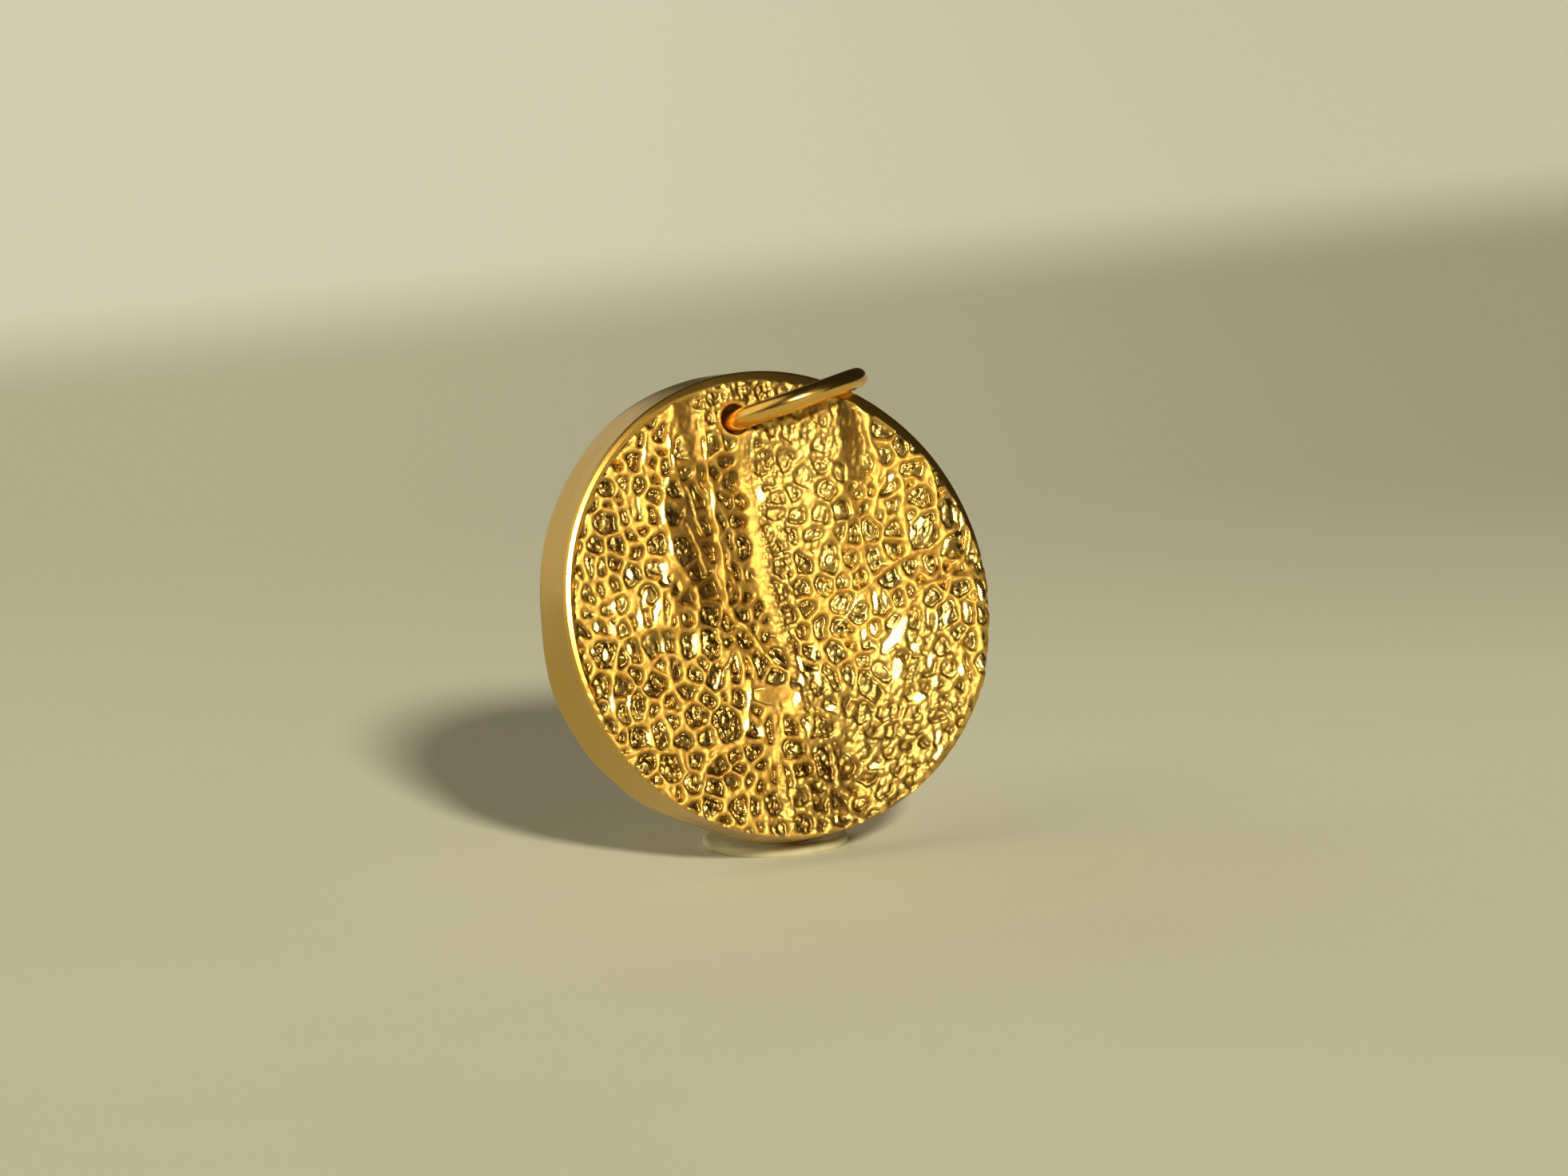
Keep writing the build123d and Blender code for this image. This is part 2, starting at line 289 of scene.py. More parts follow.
# The leaf's cells: middle, half width, half height and slant, where there is one, in mm from the
# middle of the disc.
leafCells = [
    (-4.35, 7.65, .4, .38), (-4.55, 7, .33, .28), (-3.45, 6.9, .36, .5), (-5.85, 6.65, .42, .42),
    (-5.35, 7.65, .16, .35, .3), (-4.85, 6.6, .2, .45, .2), (-4.4, 6.3, .3, .35), (-5, 5.95, .22, .3),
    (-5.75, 5.65, .27, .27), (-6.4, 5.75, .24, .38), (-7.3, 5.65, .38, .35), (-7.95, 5.05, .22, .3, .3),
    (-7.25, 5, .25, .2), (-6.75, 5.15, .16, .3), (-5.1, 5, .32, .36), (-4.15, 5.25, .28, .5, .1),
    (-7.5, 4.25, .45, .42), (-6.7, 4.5, .18, .3), (-6.25, 4.6, .14, .22), (-5.95, 4.35, .22, .42, .1),
    (-5.3, 4.45, .3, .42), (-4.35, 4.4, .34, .45, .2), (-6.35, 3.45, .28, .26), (-5.9, 3.7, .28, .2),
    (-7.2, 3.15, .34, .34), (-8.1, 3.25, .3, .28), (-8.5, 2.5, .28, .4, .2), (-7.95, 2.3, .25, .38, .1),
    (-7.4, 2.5, .28, .36), (-6.3, 2.95, .3, .22), (-6.75, 1.95, .3, .36), (-8.8, 4.3, .2, .5, .2),
    (-9.15, 3.2, .22, .4, .2), (-5.35, 3, .36, .4), (-4, 2.6, .46, .5), (-3, 4.9, .3, .62, -.1),
    (-2.75, 3.6, .3, .45), (-3.4, 1.75, .5, .4), (-3, .95, .42, .45), (-2.7, 2.6, .26, .45),
    (-1.9, 7, .36, .45), (-1.3, 7.2, .2, .5), (-1.5, 6.4, .34, .35), (-2, 5.9, .28, .3),
    (-1.35, 5.5, .28, .4, .1), (-2.6, 5.6, .2, .5), (-1.6, 4.6, .3, .55, -.3), (-1.3, 3.8, .34, .4),
    (-1.95, 3.7, .14, .5), (-1.7, 2.9, .2, .5, -.1), (-1.2, 2.5, .26, .5), (-1.6, 1.6, .24, .5, -.3),
    (-1.2, 1.3, .2, .4), (-1.95, 2.1, .14, .5), (-1.85, .5, .26, .26), (-2.15, 1.1, .16, .4),
    (-1.3, .4, .26, .4, .4), (-4.5, .6, .34, .45, .2), (-8.2, 1.5, .22, .3), (-7.6, 1.6, .2, .35),
    (-8.75, 1.3, .25, .35), (-7.45, .75, .28, .3), (-9.1, .4, .24, .24), (-6, .9, .3, .3),
    (-6.35, .1, .22, .4), (-5.35, .3, .18, .6), (-4.8, 1, .3, .35), (-9.5, 1.7, .2, .5, .1),
    (-9.35, -.1, .38, .4), (-8.3, -.15, .22, .3), (-7.45, -.25, .32, .24), (-8.4, -1.25, .48, .5),
    (-7.05, -1.3, .24, .45, -.2), (-6.25, -1.2, .34, .45), (-5.4, -1.1, .26, .5), (-4.6, -1.3, .34, .55),
    (-3.5, -1.4, .45, .6, .1), (-5.1, -.2, .2, .3), (-4.55, -.1, .3, .4), (-3.2, -.15, .42, .4),
    (-2.4, -.55, .3, .3), (-9.5, -2, .28, .35), (-9, -2.65, .5, .48), (-7.85, -2.85, .34, .34),
    (-7, -2.35, .26, .35, -.2), (-6.35, -2.9, .5, .45), (-5.35, -2.3, .26, .45, -.2),
    (-5.85, -2.1, .16, .3), (-4.5, -2.6, .35, .33), (-4.9, -3.2, .46, .3), (-3.4, -2.8, .4, .55, .3),
    (-7.95, -3.75, .18, .4), (-7.3, -3.6, .32, .5), (-6.6, -3.9, .28, .28), (-5.7, -3.65, .34, .4),
    (-4.05, -3.65, .28, .32, -.2), (-2.7, -3.8, .28, .35), (-2.5, -2.5, .24, .5, .1),
    (-1.75, -1.45, .3, .34), (-1.3, -2.45, .38, .5), (-.7, -3.15, .35, .34), (-.35, -2.2, .32, .5, -.1),
    (-1.1, -.9, .24, .3), (-.65, -1.3, .25, .4, -.3), (-1.5, -.2, .35, .34), (-.95, -.2, .2, .35),
    (-1.9, -2.6, .2, .4), (-8.65, -4.3, .24, .42, -.3), (-8.3, -4.85, .24, .26), (-7.4, -4.9, .42, .44),
    (-6.45, -4.8, .36, .5, -.1), (-5.8, -4.4, .28, .42, -.1), (-4.7, -4.4, .44, .42),
    (-3.3, -4.75, .48, .72), (-5.4, -5.3, .35, .38), (-4.4, -5.3, .34, .36), (-8.15, -5.5, .24, .26, -.4),
    (-7.35, -6.05, .4, .36), (-6.15, -6.35, .52, .52), (-4.95, -6.15, .28, .3), (-4.05, -6.5, .38, .4),
    (-3.2, -6.2, .26, .26), (-3.1, -6.8, .24, .18), (-7, -6.85, .34, .2), (-6.4, -7.35, .18, .15),
    (-6, -7.5, .14, .28), (-5.3, -7.15, .3, .4), (-3.5, -7.25, .36, .28), (-4.55, -8.25, .38, .4),
    (-3.4, -8.55, .38, .55, .1), (-2.6, -7.3, .25, .22), (-2.1, -7.6, .3, .3), (-2.55, -8.5, .2, .4),
    (-1.75, -8.4, .24, .5), (-1.7, -9.5, .3, .3), (-2.5, -9.3, .2, .25), (-2.1, -5.2, .3, .5),
    (-2.25, -6.1, .4, .36), (-1.9, -6.7, .36, .3), (-1.35, -5.2, .26, .55), (-1.75, -4.5, .3, .34),
    (-1.5, -7.1, .16, .4), (-.2, -5.3, .22, .35), (-.3, -6.3, .4, .4), (-.05, -7.1, .4, .36),
    (-.8, -7.5, .14, .4), (-.3, -8.2, .28, .4), (-.3, -9.4, .35, .35), (.45, -8, .3, .34),
    (.5, -8.75, .4, .3), (1, -6.95, .46, .72), (2, -7, .42, .8, -.1), (1.1, -5.5, .46, .45),
    (1.75, -1.3, .34, .5, .1), (2.8, -1.5, .5, .34, -.5), (2.4, -2.4, .44, .44, -.3),
    (3.6, -4, .42, .75, -.4), (1.95, -3.5, .3, .5, -.3), (2.75, -3.3, .3, .5), (6.15, -1.5, .34, .48),
    (7.15, -.45, .28, .3), (7.7, -1.4, .38, .5, .4), (4.2, -3.4, .4, .42), (.3, -4.5, .28, .3),
    (1.5, -8.75, .46, .42), (1.4, -9.45, .4, .3), (3, -7.9, .45, .26), (3.95, -7, .3, .3),
    (3.6, -8.4, .36, .36), (.3, -9.5, .24, .3), (2.3, -8.9, .3, .3), (7.2, -2.6, .46, .38),
    (8.2, -3.9, .12, .5, -.1), (6.9, -4.8, .4, .1), (5.5, -4.4, .18, .26), (7.5, -5.4, .3, .3),
    (4.3, -5.25, .46, .34), (6.4, -5.55, .5, .22), (5.6, -.3, .3, .4, .2), (6.3, -.1, .24, .3, .2),
    (8.5, -.2, .45, .36), (9.4, -.4, .24, .4), (9.3, -1.5, .22, .4), (8.6, -1.3, .3, .5),
    (8.6, -2.5, .3, .34), (9.3, -2.5, .24, .36), (6.9, -6.3, .3, .24), (2.3, -6.3, .28, .28),
    (5, -6.7, .34, .4), (1.3, 6.15, .34, .6), (3.15, 6.55, .42, .55, -.1), (2, 5.3, .4, .4),
    (.4, 6, .34, .66), (2.85, 5.7, .28, .36, .2), (1.4, 4.6, .3, .3), (3, 4.6, .34, .4),
    (2.5, 3.6, .42, .38), (1.6, 3.6, .44, .44), (3.5, 3.6, .44, .44), (2, 2.8, .4, .34),
    (4, 2.6, .36, .5), (3.75, 5.3, .26, .5), (4.7, 5.4, .44, .52, .2), (4.55, 4.3, .26, .4, .4),
    (5, 4.45, .2, .28), (4.65, 3.7, .28, .3), (6.2, 6.9, .38, .4, -.1), (6.1, 5.9, .28, .3),
    (6.75, 6.1, .26, .32), (7.25, 5, .44, .4), (8.3, 4.5, .3, .36), (7.3, 3.75, .55, .5),
    (8.5, 3.1, .42, .6), (5.85, 4.4, .38, .4, .2), (5.95, 3.55, .36, .45, .2), (5.45, 3.3, .24, .3),
    (4.8, 2.65, .4, .46, .1), (6, 2.6, .34, .4, .2), (7.3, 2.4, .65, .74, .3), (8.85, 1.6, .56, .66, .3),
    (4.9, 1.4, .34, .5, -.1), (5.75, 1.65, .38, .44), (1.5, 1.6, .44, .48), (2.6, 1.6, .44, .6),
    (3.75, 1.5, .3, .46), (.6, 1.4, .36, .36), (.05, 3.1, .26, .4), (.55, 2.4, .26, .34),
    (5.45, .45, .42, .55), (6.45, .85, .36, .36), (6.75, .3, .26, .3, .2), (7.4, .8, .33, .34),
    (8.5, .6, .42, .3), (7.75, .1, .24, .3), (1.6, 7.1, .34, .4, .2), (2.4, 7.2, .4, .3, .3),
    (1.2, .6, .34, .4), (2.3, .6, .3, .35), (3.2, .6, .3, .35, .2), (3, -.2, .34, .34, .3),
    (9.5, 1.2, .16, .5, .2), (.25, .6, .3, .4), (1.3, -.35, .3, .36), (.5, -.6, .34, .36),
    (.45, -1.7, .28, .4, -.2), (1.1, -2.2, .26, .4, -.1),
]

cellForm = {
    "fillPitch": 0.86,      # spacing of the cells that fill the rest of the face
    "fillJitter": 0.48,
    "fillSize": 0.33,
    "fillSpread": 0.12,
    "fillLeast": 0.19,      # smaller filling cells are left out
    "fillBeyond": 0.3,      # how far over the rim their middles go
    "fillTaller": 0.25,
    "fillSlant": 0.4,       # on the right side
    "wallKept": 0.02,       # metal left between a filling cell and its neighbours
    "veinKept": 0.04,
    "ridgeHalf": 0.078,     # half width of the ridges between cells
    "ridgeSpread": 1.4,
    "grow": 0.26,           # how far a cell may spread over its outline where there is room
    "moatDepth": 0.15,
    "moatSpread": 0.10,
    "flankWidth": 0.14,     # from the middle of a ridge's side down to the cell's bottom
    "flankTurn": 0.7,       # the share of it that is round
    "crestHalf": 0.04,
    "crestFade": 0.09,
    "rounding": 0.035,
    "domeStart": 0.09,
    "domeReach": 0.16,
    "domeRise": 0.05,
    "domeSpread": 0.12,
    "ridgeRise": 0.03,
    "ridgeLean": 0.12,      # slope of the ridges' tops toward the left
    "leanReach": 0.12,
    "warp": (0.16, 0.5),    # wander of the cells' outlines: how far, and its size
    "fineWarp": (0.08, 0.22),
    "veinWarp": (0.24, 1.3),
}

# Drops inside the cells, longer than wide, leaning on the right half.
drops = {
    "reach": 0.6,           # a drop's radius as a share of the pitch
    "leftPitch": 0.23,
    "rightPitch": 0.31,
    "lengthen": 1.35,
    "rise": 0.13,
    "leanRight": 0.45,
}

# Veins: path in mm, half width and height.
veins = {
    "midribTop": ([(-.8, 9.7), (-.35, 6.5), (-.3, 3), (-.25, .6), (.05, -.8), (.25, -2.2),
                   (.25, -3.1)], .18, .02),
    "midribFoot": ([(-.95, -4.6), (-.95, -6), (-1.1, -7.5), (-1.15, -9.7)], .16, .02),
    "leftRib": ([(-2.25, 5.3), (-2.3, 3), (-2.2, 2), (-2.35, .3), (-1.9, -.6), (-1.3, -1.4),
                 (-1, -2)], .1, .06),
    "leftRibTop": ([(-2.1, 8.9), (-2.35, 8.1), (-2.3, 7.2), (-2.4, 6.5)], .06, .03),
    "shortRib": ([(-3.5, 5.3), (-3.3, 4.3), (-3, 3.3)], .08, .05),
    "secondShortRib": ([(-3.8, 3.7), (-3.45, 2.8), (-3.15, 1.8)], .08, .05),
    "plateauEdge": ([(-3.65, 8.9), (-3.8, 8), (-4.1, 7.3), (-4.05, 6.5), (-4, 6), (-4.6, 5.5),
                     (-4.9, 4.4), (-4.75, 3.4), (-4.8, 2.6), (-4.6, 2.1), (-4.1, 1.5)], .12, .07),
    "plateauFoot": ([(-3.8, 1.1), (-3.75, .3), (-4.1, -.5)], .08, .05),
    "upperLeftRib": ([(-5, 7.8), (-5.3, 6.9), (-5.5, 6.1)], .08, .05),
    "lowLeftRib": ([(-1.9, -3.2), (-2.2, -4.2), (-2.5, -5.2)], .12, .07),
    "forkTwig": ([(-2.4, -1.6), (-3.1, -2.4)], .09, .05),
    "lowLeftArc": ([(-4.9, -7), (-4.6, -6.3), (-3.9, -5.85), (-2.7, -5.7)], .09, .04),
    "leftArc": ([(-8.2, -5.7), (-7, -5.5), (-5.8, -5.75), (-5.5, -6.6)], .09, .04),
    "rightBranch": ([(4.3, .2), (5.2, .95), (6.2, 1.3), (7.4, 1.4), (8.2, 2), (9, 2.4)], .1, .04),
    "rightTwig": ([(5.6, -1), (6.4, -.6), (7.1, -.05), (8, .3), (9.2, .9)], .08, .04),
    "topRightRib": ([(5.2, 8.5), (5.4, 7.5), (5.45, 6.5), (5.7, 5.7)], .16, .06),
    "rightColumn": ([(6.5, 4.7), (6.4, 3.6), (6.45, 2.5), (6.5, 1.5)], .12, .04),
    "rightSlope": ([(7.9, 5.6), (6.9, 5.5), (6, 5.05), (5.4, 4), (5.3, 3.7)], .09, .04),
    "outerRight": ([(8, 5.3), (8, 4.5), (7.95, 3.4), (8.1, 2.5)], .08, .03),
    "lowRightBand": ([(.2, -4.2), (1, -4.7), (2.6, -5.5)], .13, .02),
}

# One-sided slopes: line as (x, y) from low to high, reach to the left and right, lift, and
# where along y the slope starts, is full, fades and ends.
slopes = {
    "columnOuter": ([(-1.9, -.8), (-2.5, .3), (-2.4, 3), (-2.4, 5.3), (-2.6, 6.5)],
                    2.3, .25, -.12, (-1.6, -.6, 5.2, 6.6)),
    "columnWhole": ([(0, -3.4), (-.2, -1.5), (-.7, .5), (-.78, 6), (-1, 9)],
                    3.6, 5, -.5, (-3, -1, 5.2, 7.6)),
    "midribFace": ([(.1, -1.5), (-.1, .5), (-.1, 9.5)], .6, .5, .01, (-2, -1, 8.5, 9.5)),
    "topLeftTrough": ([(-3, 5.4), (-2.62, 9.6)], .85, .8, -.1, (5, 6, 9.3, 9.9)),
    "topRightTrough": ([(5.4, 4.6), (5.12, 5.6), (5.03, 8.6)], 1, .2, -.13, (4.3, 5.4, 8.6, 9.4)),
    "fieldRightOfMidrib": ([(3.6, 2.6), (4, 8)], 4.4, 1, .2, (1.5, 3.5, 8.5, 9.5)),
    "rightField": ([(9, -5.5), (9.4, .5)], 6, .9, .52, (-6.4, -4.4, -.6, 1.2)),
    "upperRightField": ([(9, 1), (8, 6.5)], 3.6, .9, .25, (.6, 2.2, 5.6, 7.4)),
    "leftBlisters": ([(-5, -1), (-5, 1.5)], 3.2, .8, .2, (-1.2, -.3, 1.2, 2.2)),
    "plateau": ([(-4.5, 1.5), (-4.6, 5), (-3.9, 8.5)], 1.5, .5, .1, (1.2, 2.2, 6.5, 8.5)),
    "lowRightShade": ([(2.5, -9.4), (2.3, -6)], 2.6, .9, -.24, (-9.8, -9, -6.6, -5.4)),
    "lowRightField": ([(7.2, -8.5), (8.2, -5.5)], 4.4, .8, .32, (-9, -7.6, -5.8, -4.4)),
    "footStep": ([(-1.3, -9.6), (-1.2, -4.6)], 1.3, .9, -.09, (-9.9, -9, -5.2, -4.2)),
    "forkPatch": ([(.2, -4.8), (.3, -3.4)], .9, .3, .16, (-5.2, -4.5, -3.9, -3.3)),
}

slopeForm = {
    "wander": (0.35, 0.8),
    "straight": 0.7,        # share of the left side's fall that is straight
}

# Broad swells: middle, reach and lift in mm.
swells = {
    "dipAtFork": (-1.1, -2.1, .9, 1.1, -.1),
    "lowDip": (1, -6.9, .9, 1, -.08),
    "rightBulge": (5.4, -2.2, .9, 1.3, .1),
    "lowRightDip": (3.2, -8, 1.2, 1, -.08),
}

# Places where the cells fade into smooth metal: middle, reach, how much is left of cells and
# of drops, and how much painted shade it has.
calmPlaces = {
    "topRightTrough": (4.5, 7, .62, 1.7, .05, .5, .8),
    "topLeftTrough": (-3, 8.2, .45, 1.8, .1, .3, .9),
    "patchAtFork": (-.9, -3.85, .85, .38, 0, 0, .6),
    "forkBright": (-.1, -4.2, .5, .45, .1, 0, 0),
    "leftBlisters": (-6.5, .4, 1.8, 1.3, .8, .15, 0),
    "fieldRightOfMidrib": (1.9, 5.6, 2.2, 2.4, .8, 1, 0),
    "darkColumn": (-3.3, 2.8, .9, 3, .9, .6, .95),
    "innerColumn": (-1.5, 2.8, .7, 3.4, 1, 1, .6),
    "lowField": (1.8, -7.8, 1.5, 1.7, 1, 1, .6),
}

# Places where the cells' walls are lost in crumpled metal: middle, reach and share.
crumpledPlaces = {
    "lowRight": (4.8, -6.4, 3.6, 2.3, .85),
    "rightGlare": (6, -3, 1.9, 1.6, .7),
    "besideMidrib": (.4, 3.2, .6, 5.2, .75),
    "lowMiddle": (1.2, -8.8, 3, 1.3, .6),
    "underFork": (.9, -4, 1.1, .9, .7),
    "besideHole": (-1.7, 8.6, .9, 1, .6),
    "topRight": (2.6, 8.6, 2.2, .8, .7),
    "upperField": (2.2, 6.4, 2.3, 1.7, .65),
    "middleField": (1.9, 3.2, 1.5, 1.6, .35),
    "aboveHole": (.5, 9.2, 1.9, .6, .85),
    "inTrough": (4.4, 6.9, .8, 1.9, .9),
}

placeFlat = 1.8     # over 1, so that a place is at its full share around its middle

# The crumpled metal, the right half and the fine grain. Scatter is given as height and size.
surface = {
    "crumpledLoss": 0.7,    # of the cells' walls
    "crumpledDrops": 0.2,   # how much lower drops are there
    # painted shade in crumpled metal, and below it on the midrib
    "crumpledShade": 0.62,
    "crumpledPale": 0.5,
    "midribShade": 0.45,
    "rightFrom": 0.5,       # where the leaning drops begin
    "rightOver": 2.0,
    # painted light: the right half, which is more brightly lit, gets less painted shade
    "rightLessShade": 0.25,
    "pitSize": (0.15, 0.19),
    "pitDepth": 0.014,
    "midribPitDepth": 0.02,
    "wave": (0.03, 0.45),
    "streak": (0.04, 0.62),
    "fine": (0.035, 0.23),
}

# Smooth facets that face the lamp, given like the cells.
gleams = [
    (-8.45, -1.35, .17, .21), (-7.3, -1.2, .15, .33, -.15), (-5.72, -1.15, .13, .36, .1),
    (-6.65, .05, .18, .43), (-5.85, .25, .16, .5, .35), (-8.65, -.1, .17, .26),
    (-7.95, -.2, .16, .3, -.2), (-7.75, .7, .17, .26, .2), (-6.3, .85, .15, .36, .4),
    (-6.75, 1.95, .17, .23), (-5.2, 1.7, .14, .45, -.2), (-4.75, 2.9, .14, .42), (-5.2, 2.1, .2, .22),
    (-9, -1.1, .14, .17), (-8.5, -3.35, .12, .42, .1), (-7.7, -3.4, .13, .36, .15),
    (-4.2, -1.3, .1, .45, .1), (-3.75, -1.3, .1, .4, .5), (-3.4, -3, .1, .42, .5),
    (-2.7, -2.2, .13, .4, .7), (-2.15, -3.9, .13, .52, .3), (-2.45, -5, .13, .3, .3),
    (-2.35, -2.3, .09, .4, .1), (-1.35, -2.4, .12, .17), (-1.8, -5.3, .12, .26), (-7, -5, .09, .4),
    (-4.9, 4.3, .13, .5, .2), (-4.5, 5.6, .16, .3, .5), (-4.05, 6.5, .13, .38), (-4.1, 7.3, .12, .3),
    (-5.3, 6.9, .1, .5, .25), (-5.9, 4.8, .1, .4, -.1), (-3.38, 4.6, .1, .42, -.25),
    (-2.38, 6.9, .1, .4, .1), (-2.33, 4.6, .1, .52), (-.15, 6.9, .12, .5, .2), (0, 4.75, .16, .36),
    (5.25, 8, .15, .32, -.3), (5.15, -1.95, .36, .72, .85), (4.5, -.4, .17, .5),
    (4.95, -.35, .12, .4, -.1), (3.4, -.55, .12, .58, 1), (4.95, -3.4, .27, .5, .2),
    (1.25, -3.4, .18, .36, -.2), (1.3, -2.3, .12, .4, .2), (.55, -2.7, .13, .36, -.3),
    (.45, -3.4, .15, .36, -.1), (.08, -4.15, .2, .3, .3), (1.65, -4.7, .3, .17), (.4, -5.5, .13, .42),
    (6.75, -1.4, .11, .36), (7.1, -1.6, .11, .36, .2), (7.62, -1.45, .14, .4, .6), (8.6, -1.25, .14, .42),
    (9.35, -.6, .13, .45), (6.4, -6.5, .15, .33, .2), (6.3, -7.2, .15, .36, .7),
    (7.95, -5.7, .13, .3, .3), (2.9, -6.75, .15, .22), (5.8, -4.75, .3, .2), (6.6, -4.2, .19, .26),
    (7.9, -3.85, .16, .26), (4.2, -1.6, .15, .32, -.1), (3.7, -1.8, .15, .26), (5.9, -2.6, .25, .2),
    (6.5, -3.3, .16, .32, .2), (6.2, 4.8, .14, .22, .3), (8.1, 5.3, .12, .4, -.1), (8.9, 3, .1, .5),
    (9.2, 2.6, .12, .4, .2), (7.15, 2.7, .09, .4, .5), (7.5, 2.2, .09, .5, .6), (6.7, 2.4, .1, .5, .1),
    (8.2, 1.5, .16, .32, .5), (9.3, 1.3, .1, .5, .4), (9.55, .6, .1, .5), (1.05, -6.75, .13, .15),
    (-3.95, 2.65, .11, .14), (3.3, -7.4, .3, .16), (1.15, -9.4, .14, .2),
]
gleamSlope = 0.29
gleamLift = 0.01

# The front rim's facet and the wall's flare around the disc, as shares, from the right and up.
rimColumns = ("angle", "bevel", "flare", "lip")
rimTable = np.array([
    (0, .35, .2, 0), (30, .7, .3, 0), (50, 1.1, .38, 0), (75, 1, .45, 0), (100, .8, .6, .1),
    (120, .5, .7, .9), (150, .52, .5, 1), (175, .55, .25, 1), (197, .45, .9, .8), (210, .25, .85, .1),
    (222, .2, .55, 0), (246, .2, -.3, 0), (270, .2, .35, 0), (300, .25, .4, 0), (330, .3, .25, 0),
])


def smooth(x):
    x = np.clip(x, 0, 1)
    return x * x * (3 - 2 * x)


def hashed(i, j, k):
    value = np.sin(i * 127.1 + j * 311.7 + k * 74.7) * 43758.5453
    return value - np.floor(value) - 0.5


def softNoise(x, y, size, seed):
    # smooth scatter between -0.5 and 0.5
    x = x / size
    y = y / size
    i = np.floor(x)
    j = np.floor(y)
    u = smooth(x - i)
    v = smooth(y - j)
    low = hashed(i, j, seed) * (1 - u) + hashed(i + 1, j, seed) * u
    high = hashed(i, j + 1, seed) * (1 - u) + hashed(i + 1, j + 1, seed) * u
    return low * (1 - v) + high * v


def scatter(x, y, form, seed):
    rise, size = form
    return rise * softNoise(x, y, size, seed)


def wander(x, y, form, seed):
    return np.stack([scatter(x, y, form, seed), scatter(x, y, form, seed + 1)], 1)


def reachOf(points, middle=(0, 0)):
    return np.hypot(points[:, 0] - middle[0], points[:, 1] - middle[1])


def turnOf(points):
    return np.degrees(np.arctan2(points[:, 1], points[:, 0]))


def rimValue(name, angles):
    marks = rimTable[:, 0]
    values = rimTable[:, rimColumns.index(name)]
    angles = np.mod(angles, 360)
    row = np.searchsorted(marks, angles, side="right") - 1
    following = (row + 1) % len(marks)
    span = np.mod(marks[following] - marks[row], 360)
    share = smooth((angles - marks[row]) / span)
    return values[row] + (values[following] - values[row]) * share


def pathAway(points, path):
    away = np.full(len(points), 99.0)
    for start, end in zip(path[:-1], path[1:]):
        start = np.array(start)
        run = np.array(end) - start
        offset = points - start
        share = np.clip(offset @ run / (run @ run), 0, 1)
        away = np.minimum(away, np.linalg.norm(offset - share[:, None] * run, axis=1))
    return away


def ovalRows(ovals):
    return np.array([(*oval, 0)[:5] for oval in ovals])


def outlineAway(points, ovals):
    # signed distance of every point to every slanted oval's outline, less than 0 inside
    middleX, middleY, halfWidth, halfHeight, slant = ovals.T
    offY = points[:, 1:] - middleY
    u = (points[:, :1] - middleX - slant * offY) / halfWidth
    v = offY / halfHeight
    reach = np.maximum(np.hypot(u, v), 1e-4)
    steep = np.hypot(u / halfWidth, v / halfHeight)
    return (reach - 1) * reach / np.maximum(steep, 1e-4)


def allCells():
    placed = ovalRows(leafCells)
    pitch = cellForm["fillPitch"]
    rows = int(np.ceil(discShape["radius"] / pitch)) + 2
    j, i = np.mgrid[-rows:rows + 1, -rows:rows + 1]
    x = (i + 0.5 * (j % 2) + cellForm["fillJitter"] * hashed(i, j, 1)) * pitch
    y = (j * np.sqrt(0.75) + cellForm["fillJitter"] * hashed(i, j, 2)) * pitch
    spots = np.stack([x.ravel(), y.ravel()], 1)
    spots = spots[reachOf(spots) < discShape["radius"] + cellForm["fillBeyond"]]
    room = outlineAway(spots, placed).min(1) - cellForm["wallKept"]
    for path, halfWidth, _ in veins.values():
        room = np.minimum(room, pathAway(spots, path) - halfWidth - cellForm["veinKept"])
    size = cellForm["fillSize"] + cellForm["fillSpread"] * hashed(spots[:, 0], spots[:, 1], 3)
    size = np.minimum(size, room)
    kept = size > cellForm["fillLeast"]
    spots = spots[kept]
    size = size[kept]
    taller = 1 + cellForm["fillTaller"] * hashed(spots[:, 0], spots[:, 1], 4)
    slant = cellForm["fillSlant"] * smooth((spots[:, 0] - 2) / 3)
    return np.concatenate([placed, np.column_stack([spots, size / taller, size * taller, slant])])


def leastOf(values):
    # the least of each row, rounded where two are near each other
    rounding = cellForm["rounding"]
    return -rounding * np.log(np.exp(-np.clip(values, -2, 2) / rounding).sum(1))


def cellField(points, ovals):
    # distance into the nearest cell from its wall, the cell's number, and the place across the ridge
    into = np.empty(len(points))
    cell = np.empty(len(points), int)
    across = np.empty(len(points))
    for start in range(0, len(points), 4000):
        share = slice(start, start + 4000)
        part = points[share]
        away = outlineAway(part, ovals)
        near = np.argpartition(away, 4, axis=1)[:, :4]
        values = np.take_along_axis(away, near, 1)
        order = np.argsort(values, 1)
        near = np.take_along_axis(near, order, 1)
        values = np.take_along_axis(values, order, 1)
        uneven = 1 + cellForm["ridgeSpread"] * softNoise(part[:, 0], part[:, 1], 0.6, 31)
        walls = (values[:, 1:] - values[:, :1]) / 2 - cellForm["ridgeHalf"] * uneven[:, None]
        limits = np.column_stack([cellForm["grow"] - values[:, 0], walls])
        into[share] = leastOf(limits)
        cell[share] = near[:, 0]
        gap = ovals[near[:, 1], :2] - ovals[near[:, 0], :2]
        sideways = gap[:, 0] / np.maximum(reachOf(gap), 1e-6)
        across[share] = -(values[:, 1] - values[:, 0]) / 2 * sideways
    return into, cell, across


